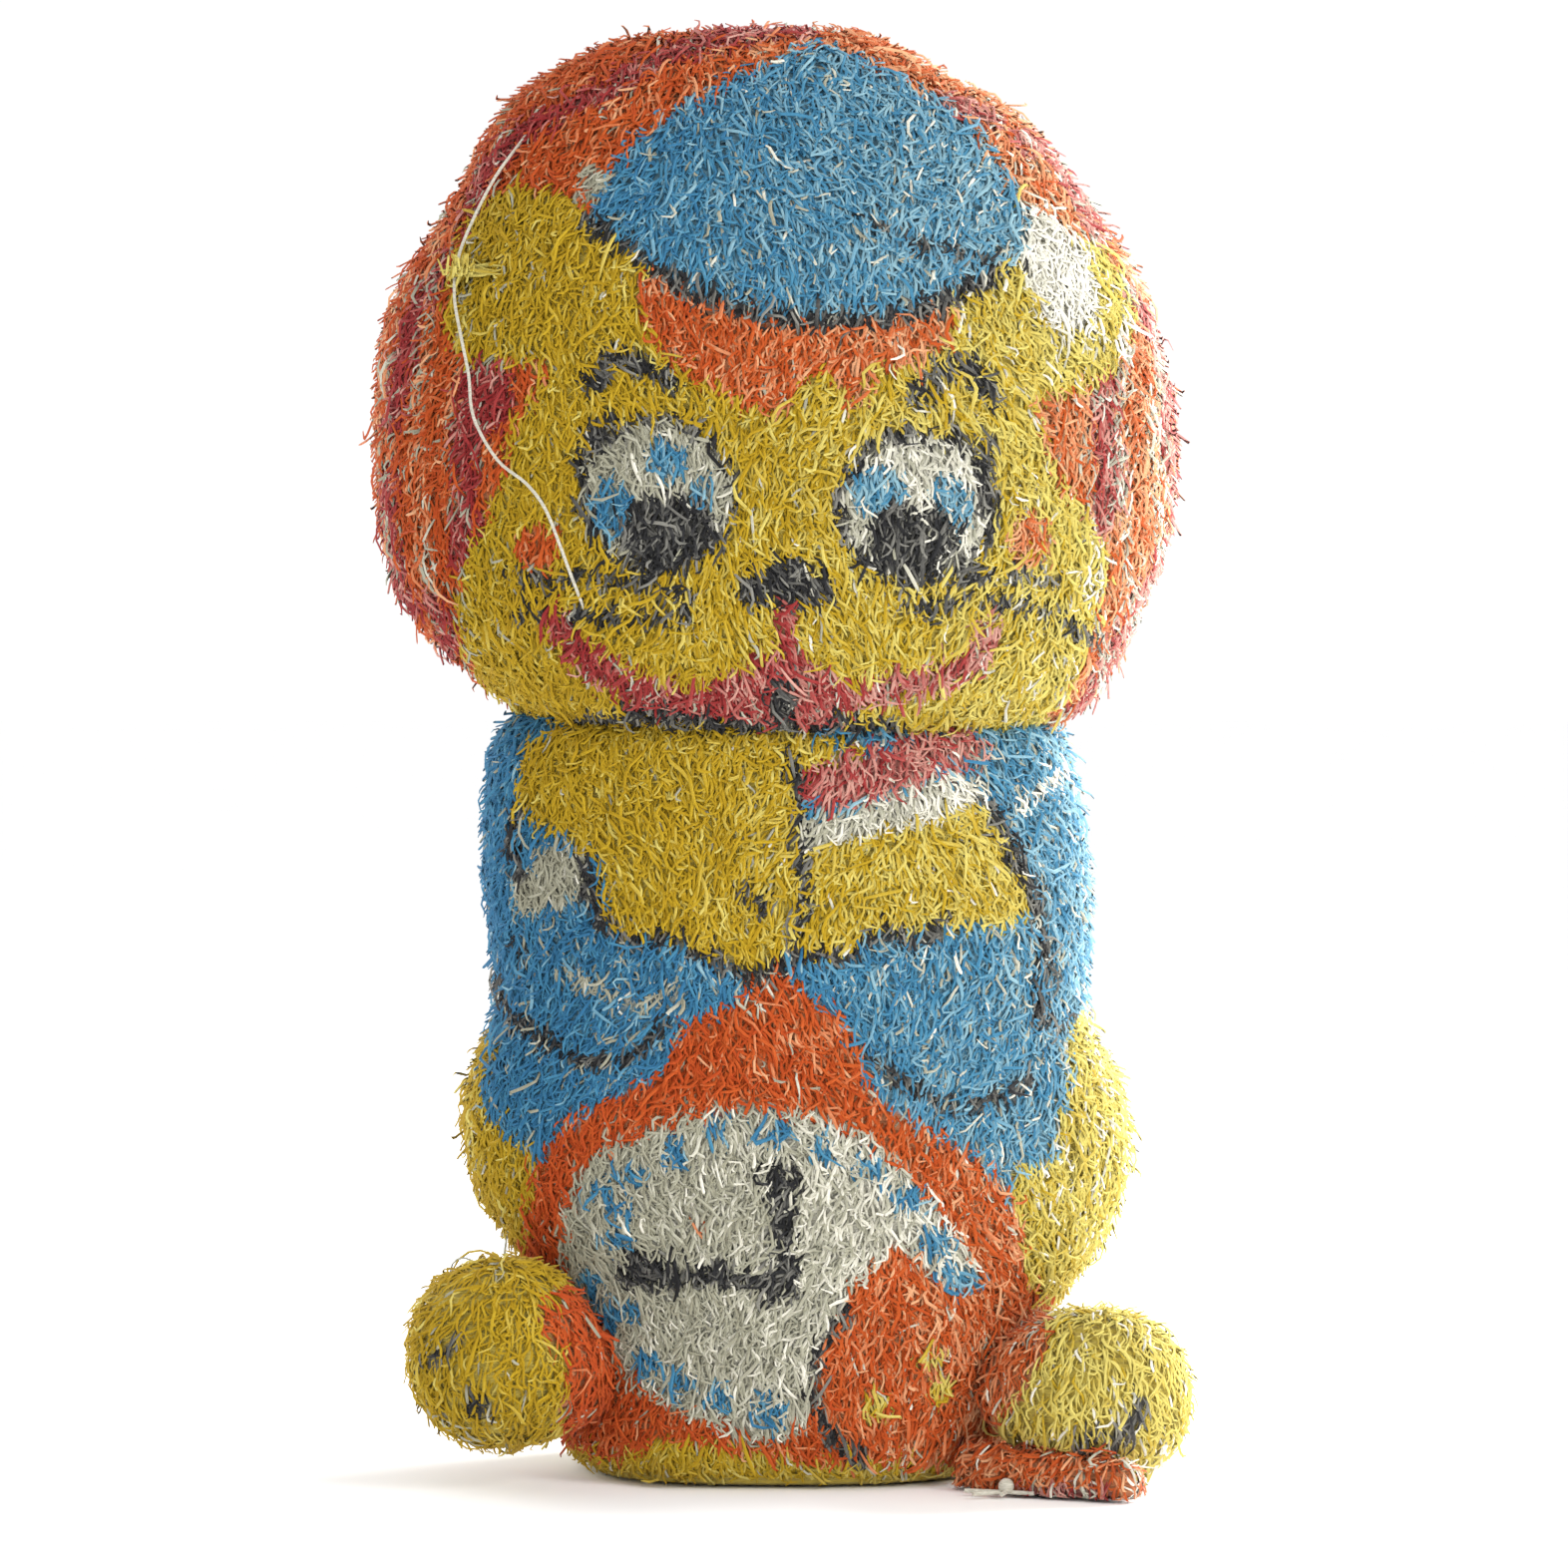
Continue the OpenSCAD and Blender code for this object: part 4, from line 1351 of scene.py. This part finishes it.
def add_flap():
    """Frayed tongue of spare knit at the front right corner of the hem."""
    flap = copy_of_node("corner_flap_knit", "corner_flap", KNIT)
    even_mesh(flap, 0.8, 6)
    points = coordinates_of(flap)
    out = ramp(points[:, 0], 36, 58)
    longer, forward, thicker = 11, 4.5, 0.9
    points += np.column_stack([longer * out, -forward * out, points[:, 2] * thicker * out])
    set_coordinates(flap, points)
    colour_skin(flap, FLAP, FLAP)
    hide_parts("corner_flap")
    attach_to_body(flap, "torso")
    grow_pile("flap", flap, (FLAP, FLAP), 1.3, 17, ride_on("torso"), size=1.0, wild=0.6)


def dress_cad_nodes():
    """Materials for the CAD nodes that stay: thread work and the card tube."""
    finishes = {
        "neck_tie": THREAD,
        "closing_knot": THREAD,
        "finger_tube": CARD,
        "foot_left_stitches": YELLOW_THREAD,
        "foot_right_stitches": YELLOW_THREAD,
    }
    for node, material in finishes.items():
        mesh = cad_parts[node].data
        mesh.materials.clear()
        mesh.materials.append(material)


add_stray_thread()
add_tuft()
add_seams()
add_hem()
add_inner_layers()
add_neck()
add_flap()
dress_cad_nodes()
add_wadding("head_wadding", "head_stuffing", 3.5, "head")
add_wadding("foot_left_wadding", "foot_left_stuffing", 1.6, "foot_left")
add_wadding("foot_right_wadding", "foot_right_stuffing", 1.6, "foot_right")


# ---- Floor and light ----

lit_middle = (0, 0, 0.14)     # all lights look here
light_size = 0.5


def add_floor():
    """Large round pale floor."""
    material, nodes, links, shader = new_material("floor", 0.9)
    grain = noise(nodes, links, 30, 3)
    shades = colour_ramp(nodes, [(0.2, (0.95, 0.95, 0.95)), (0.8, (0.98, 0.98, 0.98))])
    links.new(grain.outputs["Fac"], shades.inputs["Fac"])
    links.new(shades.outputs["Color"], shader.inputs["Base Color"])
    sides, radius, level = 96, 9000, -0.3
    turns = np.arange(sides) * 2 * math.pi / sides
    rim = np.column_stack([radius * np.cos(turns), radius * np.sin(turns), np.full(sides, level)])
    floor = mesh_object("floor", rim, [tuple(range(sides))], material)


def add_light(name, place, power):
    data = bpy.data.lights.new(name, "AREA")
    data.shape = "DISK"
    data.size = light_size
    data.energy = power
    light = new_object(name, data)
    light.location = place
    light.rotation_euler = (Vector(lit_middle) - Vector(place)).to_track_quat("-Z", "Y").to_euler()


def add_world():
    world = bpy.data.worlds.new("studio")
    world.use_nodes = True
    background = world.node_tree.nodes["Background"]
    background.inputs["Color"].default_value = (1, 1, 1, 1)
    background.inputs["Strength"].default_value = 1.04
    scene.world = world


add_floor()
add_world()
add_light("key", (0.9, -0.8, 0.7), 7.5)
add_light("rim right", (0.8, 0.5, 0.45), 20)
add_light("rim left", (-0.8, 0.6, 0.45), 4)
scene.view_settings.view_transform = "Standard"
for whole in (head_whole, torso_whole):
    bpy.data.objects.remove(whole)
